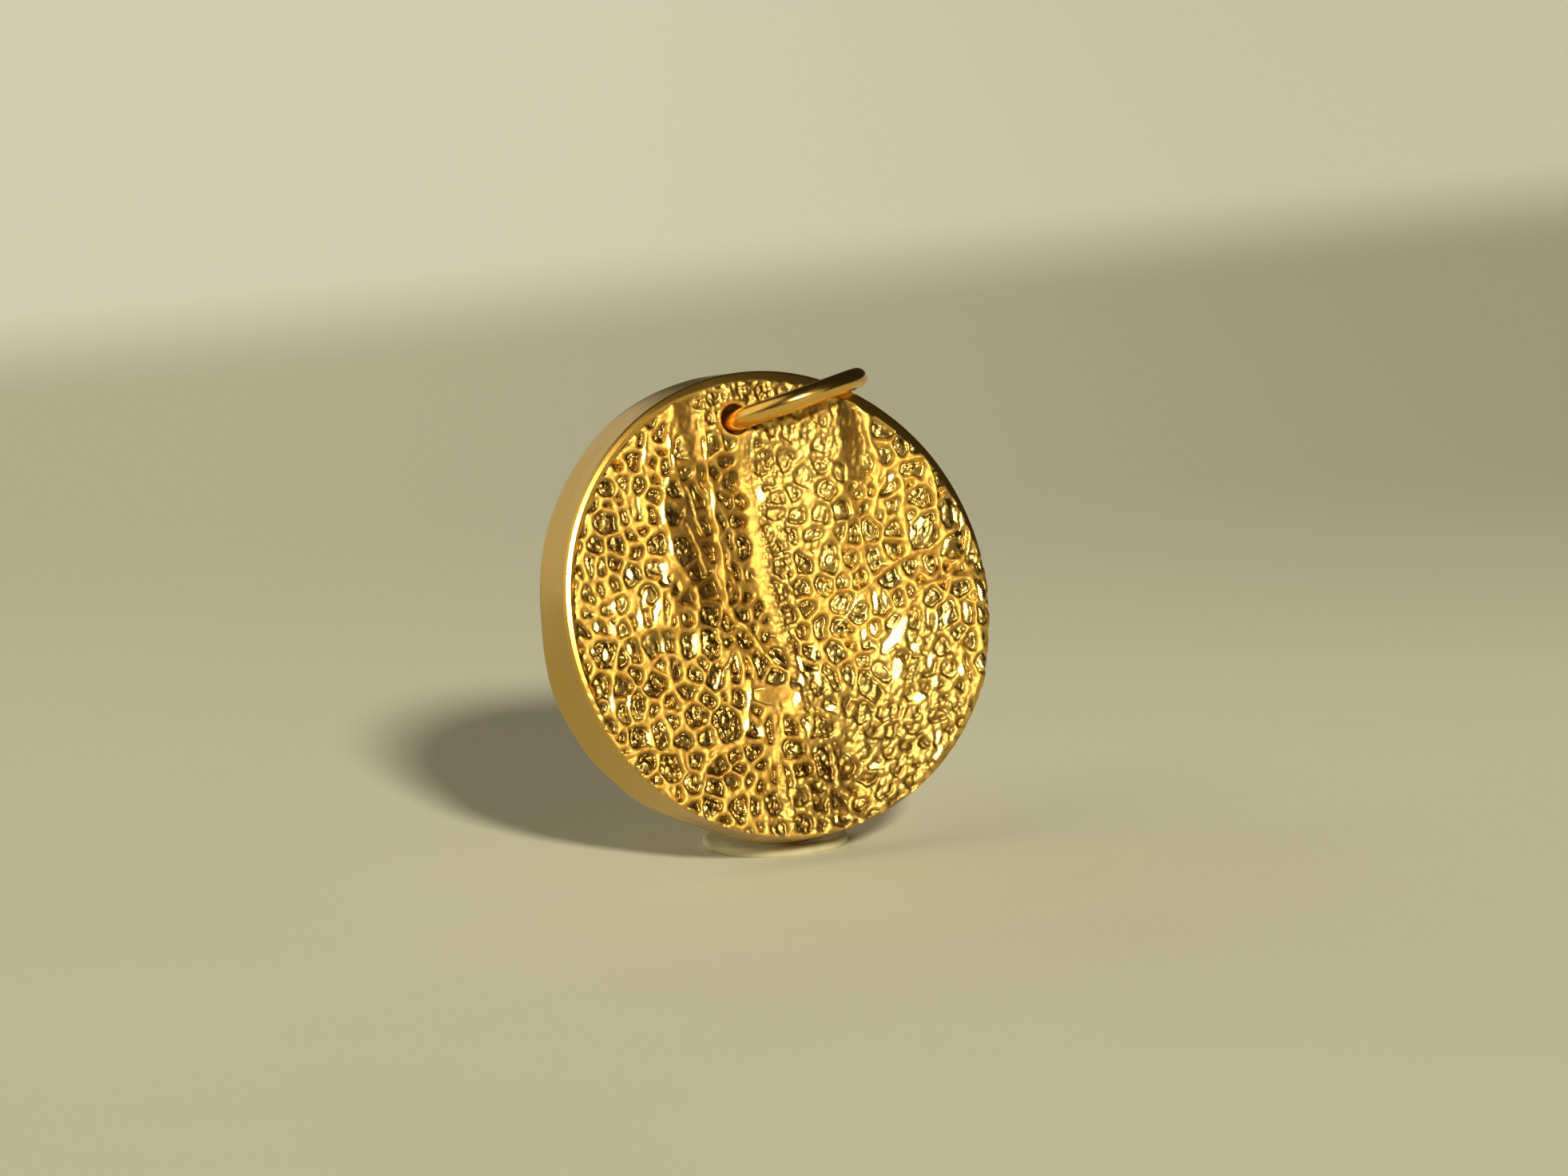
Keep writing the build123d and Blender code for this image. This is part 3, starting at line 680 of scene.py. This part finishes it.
def pebbles(x, y, seed, jitter=0.72):
    # distance to the nearest point of a shaken unit grid, and that point's own scatter
    i = np.floor(x)
    j = np.floor(y)
    nearest = np.full(len(x), 9.0)
    tone = np.zeros(len(x))
    for dj in (-1, 0, 1):
        for di in (-1, 0, 1):
            cx = i + di
            cy = j + dj
            px = cx + 0.5 + jitter * hashed(cx, cy, seed)
            py = cy + 0.5 + jitter * hashed(cx, cy, seed + 1)
            away = np.hypot(x - px, y - py)
            tone = np.where(away < nearest, hashed(cx, cy, seed + 2), tone)
            nearest = np.minimum(nearest, away)
    return nearest, tone


def mound(x, y, middleX, middleY, reachX, reachY):
    return np.exp(-((x - middleX) / reachX) ** 2 - ((y - middleY) / reachY) ** 2)


def broadForm(x, y):
    height = np.zeros(len(x))
    for *place, lift in swells.values():
        height += lift * mound(x, y, *place)
    shift = scatter(y, y, slopeForm["wander"], 18)
    straight = slopeForm["straight"]
    for line, leftReach, rightReach, lift, (start, full, fade, end) in slopes.values():
        line = np.array(line)
        beside = x - np.interp(y, line[:, 1], line[:, 0]) + shift
        share = np.clip(np.where(beside < 0, -beside / leftReach, beside / rightReach), 0, 1)
        leftFall = 1 - straight * share - (1 - straight) * smooth(share)
        fall = np.where(beside < 0, leftFall, (1 - share) ** 2)
        height += lift * fall * smooth((y - start) / (full - start)) * smooth((end - y) / (end - fade))
    return height


def veinsAt(points):
    # distance from the veins' sides, share of midrib, and the veins' height
    fromVein = np.full(len(points), 9.0)
    onMidrib = np.zeros(len(points))
    rise = np.zeros(len(points))
    for name, (path, halfWidth, lift) in veins.items():
        away = pathAway(points, path)
        fromVein = np.minimum(fromVein, away - halfWidth)
        rise = np.maximum(rise, lift * (1 - smooth(away / (halfWidth * 1.5))))
        if name.startswith("midrib"):
            onMidrib = np.maximum(onMidrib, 1 - smooth((away - halfWidth * 0.6) / (halfWidth * 0.6)))
    return fromVein, onMidrib, rise


def placesAt(x, y):
    # what is left of cells and of drops, how much painted shade the metal has and how crumpled it is
    cellsLeft = np.ones(len(x))
    dropsLeft = np.ones(len(x))
    shadeAmount = np.zeros(len(x))
    crumpled = np.zeros(len(x))
    for *place, cellShare, dropShare, shadeShare in calmPlaces.values():
        calm = smooth(placeFlat * mound(x, y, *place))
        cellsLeft *= 1 - calm * (1 - cellShare)
        dropsLeft *= 1 - calm * (1 - dropShare)
        shadeAmount = np.maximum(shadeAmount, calm * shadeShare)
    for *place, share in crumpledPlaces.values():
        crumpled = np.maximum(crumpled, share * smooth(placeFlat * mound(x, y, *place)))
    return cellsLeft, dropsLeft, shadeAmount, crumpled * dropsLeft


def cellWalls(x, y, into, cell, across, fallRight):
    # a ridge's round side falls into the moat, and the moat's bottom rises into a dome
    fall = np.clip((into + cellForm["crestHalf"]) / cellForm["flankWidth"], 0, 1)
    bend = cellForm["flankTurn"]
    fall = np.where(fall < bend, fall ** 2 / bend, 1 - (1 - fall) ** 2 / (1 - bend))
    moat = cellForm["moatDepth"] + cellForm["moatSpread"] * hashed(cell, cell * 0.37, 5)
    dome = cellForm["domeRise"] + cellForm["domeSpread"] * hashed(cell, cell * 0.61, 6)
    middle = smooth((into - cellForm["domeStart"]) / cellForm["domeReach"])
    ridge = cellForm["ridgeRise"] * (1 + softNoise(x, y, 0.8, 21))
    crest = 1 - smooth((into + cellForm["crestHalf"]) / cellForm["crestFade"])
    lean = cellForm["ridgeLean"] * np.clip(1 + 7 * fallRight, 0, 1.3)
    leaning = lean * np.clip(across, -cellForm["leanReach"], cellForm["leanReach"]) * crest
    return ridge * crest - moat * fall + dome * middle + leaning


def dropsAt(x, y, rightHalf):
    drop = np.zeros(len(x))
    leftSide = (drops["leftPitch"], 0.0, 1 - rightHalf)
    rightSide = (drops["rightPitch"], drops["leanRight"], rightHalf)
    for pitch, slant, share in (leftSide, rightSide):
        nearest, tone = pebbles((x - slant * y) / pitch, y / (pitch * drops["lengthen"]), 41)
        bead = np.clip(1 - (nearest / drops["reach"]) ** 2, 0, 1)
        drop += share * bead * np.clip(0.6 + 1.3 * tone, 0, 1.2)
    return drop


def fineGrain(x, y, onMidrib, dropsLeft, rightHalf):
    small, tint = pebbles(x / surface["pitSize"][0], y / surface["pitSize"][1], 61)
    pits = np.clip(1 - (small / drops["reach"]) ** 2, 0, 1) * (0.5 + tint)
    depth = surface["pitDepth"] + surface["midribPitDepth"] * onMidrib
    streak = scatter(x - 0.55 * y, 0.45 * y, surface["streak"], 77)
    wave = scatter(x, y, surface["wave"], 71) + scatter(x, y, surface["fine"], 73)
    return depth * dropsLeft * pits + wave + rightHalf * streak


def leafRelief(points):
    # height over the front rim's plane, and from 0 to 1 how much painted shade, how far in a cell and how
    # beaded
    x = points[:, 0]
    y = points[:, 1]
    bent = points + wander(x, y, cellForm["warp"], 11) + wander(x, y, cellForm["fineWarp"], 13)
    fromVein, onMidrib, veinRise = veinsAt(bent + wander(x, y, cellForm["veinWarp"], 15))
    cellsLeft, dropsLeft, shadeAmount, crumpled = placesAt(x, y)
    rightHalf = smooth((x - surface["rightFrom"]) / surface["rightOver"])

    into, cell, across = cellField(bent, allCells())
    into = leastOf(np.stack([into, fromVein], 1))
    fallRight = (broadForm(x + 0.05, y) - broadForm(x - 0.05, y)) / 0.1
    network = cellWalls(x, y, into, cell, across, fallRight)
    network = network * (1 - surface["crumpledLoss"] * crumpled) * cellsLeft + veinRise
    drop = dropsAt(x, y, rightHalf)
    granular = np.clip(0.7 + 1.2 * hashed(cell, cell * 0.83, 7), 0.1, 1)
    granules = np.maximum(smooth((into - 0.07) / 0.10) * dropsLeft * granular, crumpled)
    network += granules * (1 - surface["crumpledDrops"] * crumpled) * drops["rise"] * drop
    network += fineGrain(x, y, onMidrib, dropsLeft, rightHalf)

    inCell = smooth((into + 0.02) / 0.08) * cellsLeft
    # painted light: less painted shade on the right half, above its lowest part
    pale = 1 - surface["rightLessShade"] * rightHalf * smooth((y + 8) / 5)
    # painted shade in the cells' hollows and in crumpled metal
    shaded = np.maximum(inCell, crumpled * surface["crumpledShade"]) * pale
    loose = crumpled * surface["crumpledPale"]
    inCell = np.maximum(inCell * (1 - loose), loose)
    beaded = inCell * dropsLeft * granular * (1 - 0.7 * rightHalf)
    # the drops' tops, which catch the lamp, are kept free of painted shade
    unshaded = smooth((drop - 0.45 + 0.2 * rightHalf) / 0.35)
    for middleX, middleY, halfWidth, halfHeight, slant in ovalRows(gleams):
        offY = y - middleY
        offX = x - middleX - slant * offY
        reach = np.hypot(offX / halfWidth, offY / halfHeight)
        share = smooth((1.25 - reach) / 0.45)
        inside = share > 0
        level = (share * network)[inside].sum() / share[inside].sum() + gleamLift
        lean = gleamSlope - (share * fallRight)[inside].sum() / share[inside].sum()
        network[inside] += share[inside] * (level + lean * offX[inside] - network[inside])
        inCell = np.maximum(inCell, share)
        unshaded = np.maximum(unshaded, share)
        beaded *= 1 - share

    fromHole = reachOf(points, discShape["holeAt"])
    offHole = smooth((fromHole - discShape["holeRadius"]) / discShape["holeCollar"])
    inCell = inCell * offHole
    # the mask of painted shade: hollows and the midrib, then the calm places, faded near the hole
    paintedShade = np.maximum(shaded * (1 - unshaded), surface["midribShade"] * onMidrib)
    besideVein = smooth(fromVein / 0.08 + 0.5)
    paintedShade = np.maximum(paintedShade * offHole, shadeAmount * offHole * (0.8 + 0.2 * inCell) * besideVein)
    return (broadForm(x, y) + network) * offHole, paintedShade, inCell, beaded * offHole


discMesh = {
    "pitch": 0.069,
    "rimSteps": 900,
    "rimRings": (0.1, 0.25, 0.88, 1.0),     # shares of the facet's width
    "lipRings": (0.12, 0.5, 1.0),
    "holeSteps": 72,
    "wallRows": 9,
    "edgeRows": 3,
    "holeRows": 6,
    "backPitch": 0.42,
    "backRings": (0.05, 0.18),      # away from the hole
    "backWave": 0.05,
    "wallWave": 0.03,
    "boreShare": 0.5,       # how much of the plain wall's colour the hole has
    # painted shade inside the hole
    "boreShade": 0.55,
}


def ringOf(radius, angles, centre=(0.0, 0.0)):
    turn = np.radians(angles)
    return np.stack([centre[0] + radius * np.cos(turn), centre[1] + radius * np.sin(turn)], 1)


def lattice(pitch, keep):
    rows = int(np.ceil(discShape["radius"] / pitch * 1.2)) + 2
    j, i = np.mgrid[-rows:rows + 1, -rows:rows + 1]
    points = np.stack([((i + 0.5 * (j % 2)) * pitch).ravel(), (j * pitch * np.sqrt(0.75)).ravel()], 1)
    return points[keep(points)]


def triangulate(points, steps, holeSteps):
    # triangles between the points, but none across the hole, whose points follow the first ring
    faces = delaunay_2d_cdt([Vector(point) for point in points.tolist()], [], [], 0, 1e-7)[2]
    faces = np.array(faces)
    inHole = (faces >= steps) & (faces < steps + holeSteps)
    return faces[~inHole.all(1)]


def inSpace(points, heights):
    return (discOrigin + points[:, :1] * discX + points[:, 1:2] * discY + heights[:, None] * discZ) * mm


def bandFaces(upper, lower):
    after = np.roll(np.arange(len(upper)), -1)
    first = np.stack([upper, lower, lower[after]], 1)
    return np.concatenate([first, np.stack([upper, lower[after], upper[after]], 1)])


def makeMesh(name, vertices, faces, measures, material):
    mesh = bpy.data.meshes.new(name)
    mesh.from_pydata(vertices.tolist(), [], faces.tolist())
    mesh.update()
    for key, values in measures.items():
        layer = mesh.attributes.new(key, "FLOAT", "POINT")
        layer.data.foreach_set("value", values.astype(np.float32))
    mesh.polygons.foreach_set("use_smooth", np.ones(len(mesh.polygons), bool))
    mesh.materials.append(material)
    piece = bpy.data.objects.new(name, mesh)
    bpy.context.scene.collection.objects.link(piece)
    return piece


rimForm = {
    "wideFrom": 0.25,       # the facet is polished where it is wider than this share of its bevel
    "curlFrom": 0.78,       # its outer part curls over into the wall
    "curlTurn": 0.92,
    "lipRise": 0.10,
    "lipFoot": 0.04,
    "settleLeast": 0.35,    # how far the relief settles to the rim where the facet is narrow
    "polishFade": 0.08,
}


def dressRim(points, height):
    # the rim's facet, polished where it is wide, with a lip on its inner side where the table says so
    radius = discShape["radius"]
    fromEdge = radius - reachOf(points)
    turn = turnOf(points)
    share = rimValue("bevel", turn)
    lip = rimValue("lip", turn)
    width = discShape["frontBevel"] * share
    wide = smooth((share - rimForm["wideFrom"]) / rimForm["wideFrom"])
    into = np.clip(1 - fromEdge / width, 0, 1)
    curlWidth = 1 - rimForm["curlFrom"]
    curl = np.clip((into - rimForm["curlFrom"]) / curlWidth, 0, 1)
    edge = 0.5 * curlWidth * (1 - np.sqrt(1 - (rimForm["curlTurn"] * curl) ** 2))
    fall = np.clip((fromEdge - width) / discShape["lipFall"], 0, 1)
    settle = 1 - smooth((fromEdge - width - discShape["lipFall"] * lip * 0.6) / (0.12 + 0.1 * lip))
    settle *= rimForm["settleLeast"] + (1 - rimForm["settleLeast"]) * wide
    facet = rimForm["lipRise"] * lip * (1 - fall) - (discShape["facetSlope"] * into + edge) * width
    ground = -rimForm["lipFoot"] * lip * smooth(fall)
    height = height * (1 - settle) + facet + ground * settle
    beyond = fromEdge - width * 1.1 - discShape["lipFall"] * lip
    return height, settle, (1 - smooth(beyond / rimForm["polishFade"])) * wide


def buildDisc(shape, grid, material):
    radius = shape["radius"]
    steps = grid["rimSteps"]
    holeSteps = grid["holeSteps"]
    angles = np.arange(steps) * 360 / steps
    holeAngles = np.arange(holeSteps) * 360 / holeSteps
    facetWidth = shape["frontBevel"] * rimValue("bevel", angles)
    hole = ringOf(shape["holeRadius"], holeAngles, shape["holeAt"])

    def clear(points, margin, band):
        taken = band * (shape["frontBevel"] * rimValue("bevel", turnOf(points)) + shape["lipFall"])
        clearOfHole = reachOf(points, shape["holeAt"]) > shape["holeRadius"] + margin
        return (radius - reachOf(points) > margin + taken) & clearOfHole

    inward = [share * facetWidth for share in grid["rimRings"]]
    inward += [facetWidth + share * shape["lipFall"] for share in grid["lipRings"]]
    rimRings = [ringOf(radius - step, angles) for step in inward]
    inner = lattice(grid["pitch"], lambda points: clear(points, grid["pitch"] * 0.6, 1.0))
    flat = np.concatenate([ringOf(radius, angles), hole, *rimRings, inner])
    height, paintedShade, inCell, beaded = leafRelief(flat)
    height, settle, polish = dressRim(flat, height)
    count = len(flat)
    faces = [triangulate(flat, steps, holeSteps)]
    places = [inSpace(flat, height)]
    wallShare = [np.zeros(count)]

    def addRing(points, heights, wall):
        nonlocal count
        places.append(inSpace(points, heights))
        wallShare.append(np.full(len(points), wall))
        count += len(points)
        return np.arange(count - len(points), count)

    # side wall, flared toward the back, a little uneven as cast and filed, and the back's edge
    flare = shape["backFlare"] * rimValue("flare", angles)
    foot = shape["backBevel"] - shape["thickness"]
    rings = []
    for row in range(1, grid["wallRows"] + 1):
        t = row / grid["wallRows"]
        level = height[:steps] + (foot - height[:steps]) * t
        wave = softNoise(angles / 6, level * 2 + 9, 1.0, 81) - 0.5
        rings.append((radius + flare * t + grid["wallWave"] * np.sin(np.pi * t) * wave, level))
    for row in range(1, grid["edgeRows"] + 1):
        turn = np.pi / 2 * row / grid["edgeRows"]
        edge = radius + flare - shape["backBevel"] * (1 - np.cos(turn))
        rings.append((edge, np.full(steps, foot - shape["backBevel"] * np.sin(turn))))
    last = np.arange(steps)
    for reach, level in rings:
        ring = addRing(ringOf(reach, angles), level, 1.0)
        faces.append(bandFaces(last, ring))
        last = ring

    # back, flat but for slight casting waves
    backRim = ringOf(radius + flare - shape["backBevel"], angles)
    aroundHole = [ringOf(shape["holeRadius"] + away, holeAngles, shape["holeAt"])
                  for away in grid["backRings"]]
    backInner = lattice(grid["backPitch"], lambda points: clear(points, grid["backPitch"] * 0.7, 0.0))
    backInner = np.concatenate([*aroundHole, backInner])
    backFaces = triangulate(np.concatenate([backRim, hole, backInner]), steps, holeSteps)
    waves = grid["backWave"] * smooth((radius - 0.3 - reachOf(backInner)) / 1.5)
    waves = waves * (softNoise(*backInner.T, 2.6, 91) + 0.5)
    holeBack = addRing(hole, np.full(holeSteps, -shape["thickness"]), 1.0)
    numbers = [last, holeBack, addRing(backInner, waves - shape["thickness"], 1.0)]
    faces.append(np.concatenate(numbers)[backFaces][:, ::-1])

    # wall of the hole
    last = np.arange(steps, steps + holeSteps)
    holeTop = height[last]
    for row in range(1, grid["holeRows"]):
        t = row / grid["holeRows"]
        ring = addRing(hole, holeTop * (1 - t) - shape["thickness"] * t, grid["boreShare"])
        faces.append(bandFaces(ring, last))
        last = ring
    faces.append(bandFaces(holeBack, last))

    plain = np.zeros(count - len(flat))
    inBore = np.concatenate(wallShare[1:]) == grid["boreShare"]
    measures = {
        # the painted shade's mask, also inside the hole
        "paintedShade": [paintedShade * (1 - settle), np.where(inBore, grid["boreShade"], 0.0)],
        "inCell": [inCell * (1 - settle), plain],
        "beaded": [beaded * (1 - settle), plain],
        "polish": [polish, plain],
        "wall": wallShare,
    }
    measures = {name: np.concatenate(parts) for name, parts in measures.items()}
    triangles = np.concatenate(faces)
    print("pendant disc triangles", len(triangles))
    return makeMesh("leaf_cast_disc", np.concatenate(places), triangles, measures, material)


discPiece = buildDisc(discShape, discMesh, castGold(castFinish))
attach(discPiece, "pendant")
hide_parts("pendant_disc")
print("pendant disc built")

ringShape = {
    "centre": (1.79622, 0.987648, 18.8649),
    "axis": (-0.209025, 0.244849, 0.946761),
    "along": (0.97791, 0.052336, 0.202368),
    "meanRadius": 3.26,
    "wireRadius": 0.46,
    "steps": 200,
    "wireSteps": 40,
    "unevenness": 0.012,
}


def buildRing(shape, material):
    axis = np.array(shape["axis"])
    along = np.array(shape["along"])
    across = np.cross(axis, along)
    steps = shape["steps"]
    wireSteps = shape["wireSteps"]
    turn = np.repeat(np.arange(steps), wireSteps) * 2 * np.pi / steps
    wire = np.tile(np.arange(wireSteps), steps) * 2 * np.pi / wireSteps
    worn = softNoise(np.sin(turn) * 3 + 9, np.cos(turn) * 3 + np.sin(wire) * 1.5 + 9, 1.0, 101) - 0.5
    wireRadius = shape["wireRadius"] + shape["unevenness"] * worn
    reach = shape["meanRadius"] + wireRadius * np.cos(wire)
    out = np.cos(turn)[:, None] * along + np.sin(turn)[:, None] * across
    lift = wireRadius * np.sin(wire)
    vertices = np.array(shape["centre"]) + reach[:, None] * out + lift[:, None] * axis
    faces = []
    for step in range(steps):
        here = step * wireSteps + np.arange(wireSteps)
        beyond = (step + 1) % steps * wireSteps + np.arange(wireSteps)
        faces.append(np.stack([here, beyond, np.roll(beyond, -1), np.roll(here, -1)], 1))
    return makeMesh("ring_of_wire", vertices * mm, np.concatenate(faces), {}, material)


ringPiece = buildRing(ringShape, polishedGold(ringFinish))
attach(ringPiece, "ring")
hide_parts("jump_ring")
print("jump ring built")

padShape = {
    "radius": 3.15,
    "thickness": 0.44,
    "profile": [(0.985, 0.0), (1.0, 0.07), (1.0, 0.5), (0.995, 0.74), (0.982, 0.9), (0.96, 1.0)],
    "steps": 160,
    "rings": 26,
    "uneven": 0.012,
    "topUneven": 0.05,
    "tornAt": 187,          # degrees, the torn edge at the left
    "tornReach": 16,
    "tornDepth": 0.12,
    "tornThin": 0.16,
}


def buildPad(shape, material):
    steps = shape["steps"]
    angles = np.arange(steps) * 360 / steps
    turn = np.radians(angles)
    rough = softNoise(np.cos(turn) * 4 + 9, np.sin(turn) * 4 + 9, 1.0, 111) + 0.5
    outline = shape["radius"] * (1 - shape["uneven"] * rough)
    torn = np.exp(-(((angles - shape["tornAt"]) / shape["tornReach"]) ** 2))
    outline -= shape["tornDepth"] * torn * (softNoise(angles / 4, angles * 0, 1.0, 112) + 0.5)

    def topHeight(reach):
        uneven = shape["topUneven"] * (softNoise(*ringOf(reach, angles).T, 0.9, 113) + 0.5)
        thin = shape["tornThin"] * torn * smooth((reach / outline - 0.82) / 0.18)
        return shape["thickness"] * (1 - uneven) - thin

    rings = [(outline * share, level) for share, level in shape["profile"]]
    rings += [(rings[-1][0] * (1 - row / shape["rings"]), 1.0) for row in range(1, shape["rings"])]
    places = [np.column_stack([ringOf(reach, angles), topHeight(reach) * level])
              for reach, level in rings]
    numbers = np.arange(len(rings) * steps).reshape(-1, steps)
    faces = [bandFaces(ring, last) for last, ring in zip(numbers[:-1], numbers[1:])]
    top = numbers.size
    foot = top + 1
    firstRing, lastRing = numbers[0], numbers[-1]
    faces.append(np.stack([np.full(steps, top), lastRing, np.roll(lastRing, -1)], 1))
    faces.append(np.stack([np.full(steps, foot), np.roll(firstRing, -1), firstRing], 1))
    vertices = np.concatenate([*places, [[0, 0, shape["thickness"] * 0.97], [0, 0, 0]]])
    return makeMesh("pad_disc", vertices * mm, np.concatenate(faces), {}, material)


padPiece = buildPad(padShape, softPad(padFinish))
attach(padPiece, "pendant")
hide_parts("stand_pad")
print("stand pad built")

# The floor's colour is painted light and shade: darker in the middle distance than near the object, with
# painted shade growing toward the right and a painted pool of light far behind, nearer at the left.
studio = {
    "near": (0.77, 0.765, 0.60, 1),
    "middle": (0.64, 0.66, 0.51, 1),
    "middleRight": (0.50, 0.49, 0.38, 1),
    "middleFrom": 5.0,
    "middleTo": 110.0,
    "rightFrom": -40.0,     # how far to the right the floor grows darker
    "rightTo": 60.0,
    "far": (0.98, 0.98, 0.88, 1),
    "farRight": (0.86, 0.86, 0.74, 1),
    "farFrom": 184.0,       # how far behind the object the floor grows brighter
    "farTo": 250.0,
    "farSlant": 0.54,       # the bright part comes nearer at the left
    "halfSize": 3000.0,
}


def buildFloor(setup):
    paint = Paint(bpy.data.materials.new("pale_paper"))
    place = paint.place()
    cloud = paint.noise(place, 0.02, 3)
    grain = paint.noise(place, 3.0, 3)
    azimuth = math.radians(photoView["azimuth"])
    behind = paint.along(place, (-math.sin(azimuth), math.cos(azimuth), 0))
    beside = paint.along(place, (math.cos(azimuth), math.sin(azimuth), 0))
    # painted shade toward the right and a painted pool of light far behind
    toRight = paint.ramp(beside, setup["rightFrom"], setup["rightTo"])
    middle = paint.blend(toRight, setup["middle"], setup["middleRight"])
    near = paint.blend(cloud * 0.1, setup["near"], (0, 0, 0, 1))
    colour = paint.blend(paint.ramp(behind, setup["middleFrom"], setup["middleTo"]), near, middle)
    far = paint.blend(toRight, setup["far"], setup["farRight"])
    slanted = behind - beside * setup["farSlant"]
    colour = paint.blend(paint.ramp(slanted, setup["farFrom"], setup["farTo"]), colour, far)
    paper = paint.shade(colour, 0.9, paint.bump(grain, 0.02, 0.3), {"Specular IOR Level": 0.1})
    size = setup["halfSize"]
    corners = np.array([(-size, -size, 0.0), (size, -size, 0.0), (size, size, 0.0), (-size, size, 0.0)])
    makeMesh("paper_floor", corners * mm, np.array([[0, 1, 2, 3]]), {}, paper)


lamp = {"azimuth": -9.0, "elevation": 27.0, "strength": 3.1, "softness": 7.0,
        "colour": (1.0, 0.93, 0.76)}

rightSheet = {"azimuth": 17.0, "elevation": 15.0, "distance": 170.0, "width": 90.0, "height": 80.0,
              "radiance": 0.42, "colour": (1.0, 0.92, 0.70)}

# The world: its colours, and the directions in which it changes, each with start and end. It is
# bright behind the object up to a height, and has a large soft window at the left.
room = {
    "dark": (0.022, 0.019, 0.013, 1),
    "bright": (0.72, 0.68, 0.53, 1),
    "windowGlow": (0.95, 0.87, 0.66, 1),
    "behind": ((0, 1, 0), 0.1, 0.7),
    "high": ((0, 0, 1), 0.40, 0.72),
    "right": ((1, 0, 0), 0.15, 0.38),
    "window": ((-0.80, 0.15, 0.58), 0.72, 0.92),
}


def addLight(name, data, setup, distance):
    back = direction(setup["azimuth"], setup["elevation"])
    data.color = setup["colour"]
    light = bpy.data.objects.new(name, data)
    bpy.context.scene.collection.objects.link(light)
    light.rotation_mode = "QUATERNION"
    light.rotation_quaternion = back.to_track_quat("Z", "Y")
    light.location = (Vector(discShape["centre"]) + back * distance) * mm


def lightStudio():
    sun = bpy.data.lights.new("lamp", "SUN")
    sun.energy = lamp["strength"]
    sun.angle = math.radians(lamp["softness"])
    addLight("lamp", sun, lamp, 500)
    sheet = bpy.data.lights.new("rightSheet", "AREA")
    sheet.shape = "RECTANGLE"
    sheet.size = rightSheet["width"] * mm
    sheet.size_y = rightSheet["height"] * mm
    sheet.energy = rightSheet["radiance"] * math.pi * sheet.size * sheet.size_y
    addLight("rightSheet", sheet, rightSheet, rightSheet["distance"])
    paint = Paint(bpy.data.worlds.new("soft_room"))
    place = paint.node("ShaderNodeTexCoord")

    def toward(name):
        axis, start, end = room[name]
        return paint.ramp(paint.along(place, axis), start, end)

    lit = toward("behind") * (1 - toward("high")) * (1 - toward("right"))
    colour = paint.blend(lit, room["dark"], room["bright"])
    colour = paint.blend(toward("window"), colour, room["windowGlow"])
    glow = paint.node("ShaderNodeBackground", None, {"Color": colour})
    paint.node("ShaderNodeOutputWorld", None, {"Surface": glow})
    bpy.context.scene.world = paint.owner
    bpy.context.scene.view_settings.view_transform = "Standard"


buildFloor(studio)
lightStudio()
print("floor and lights placed")
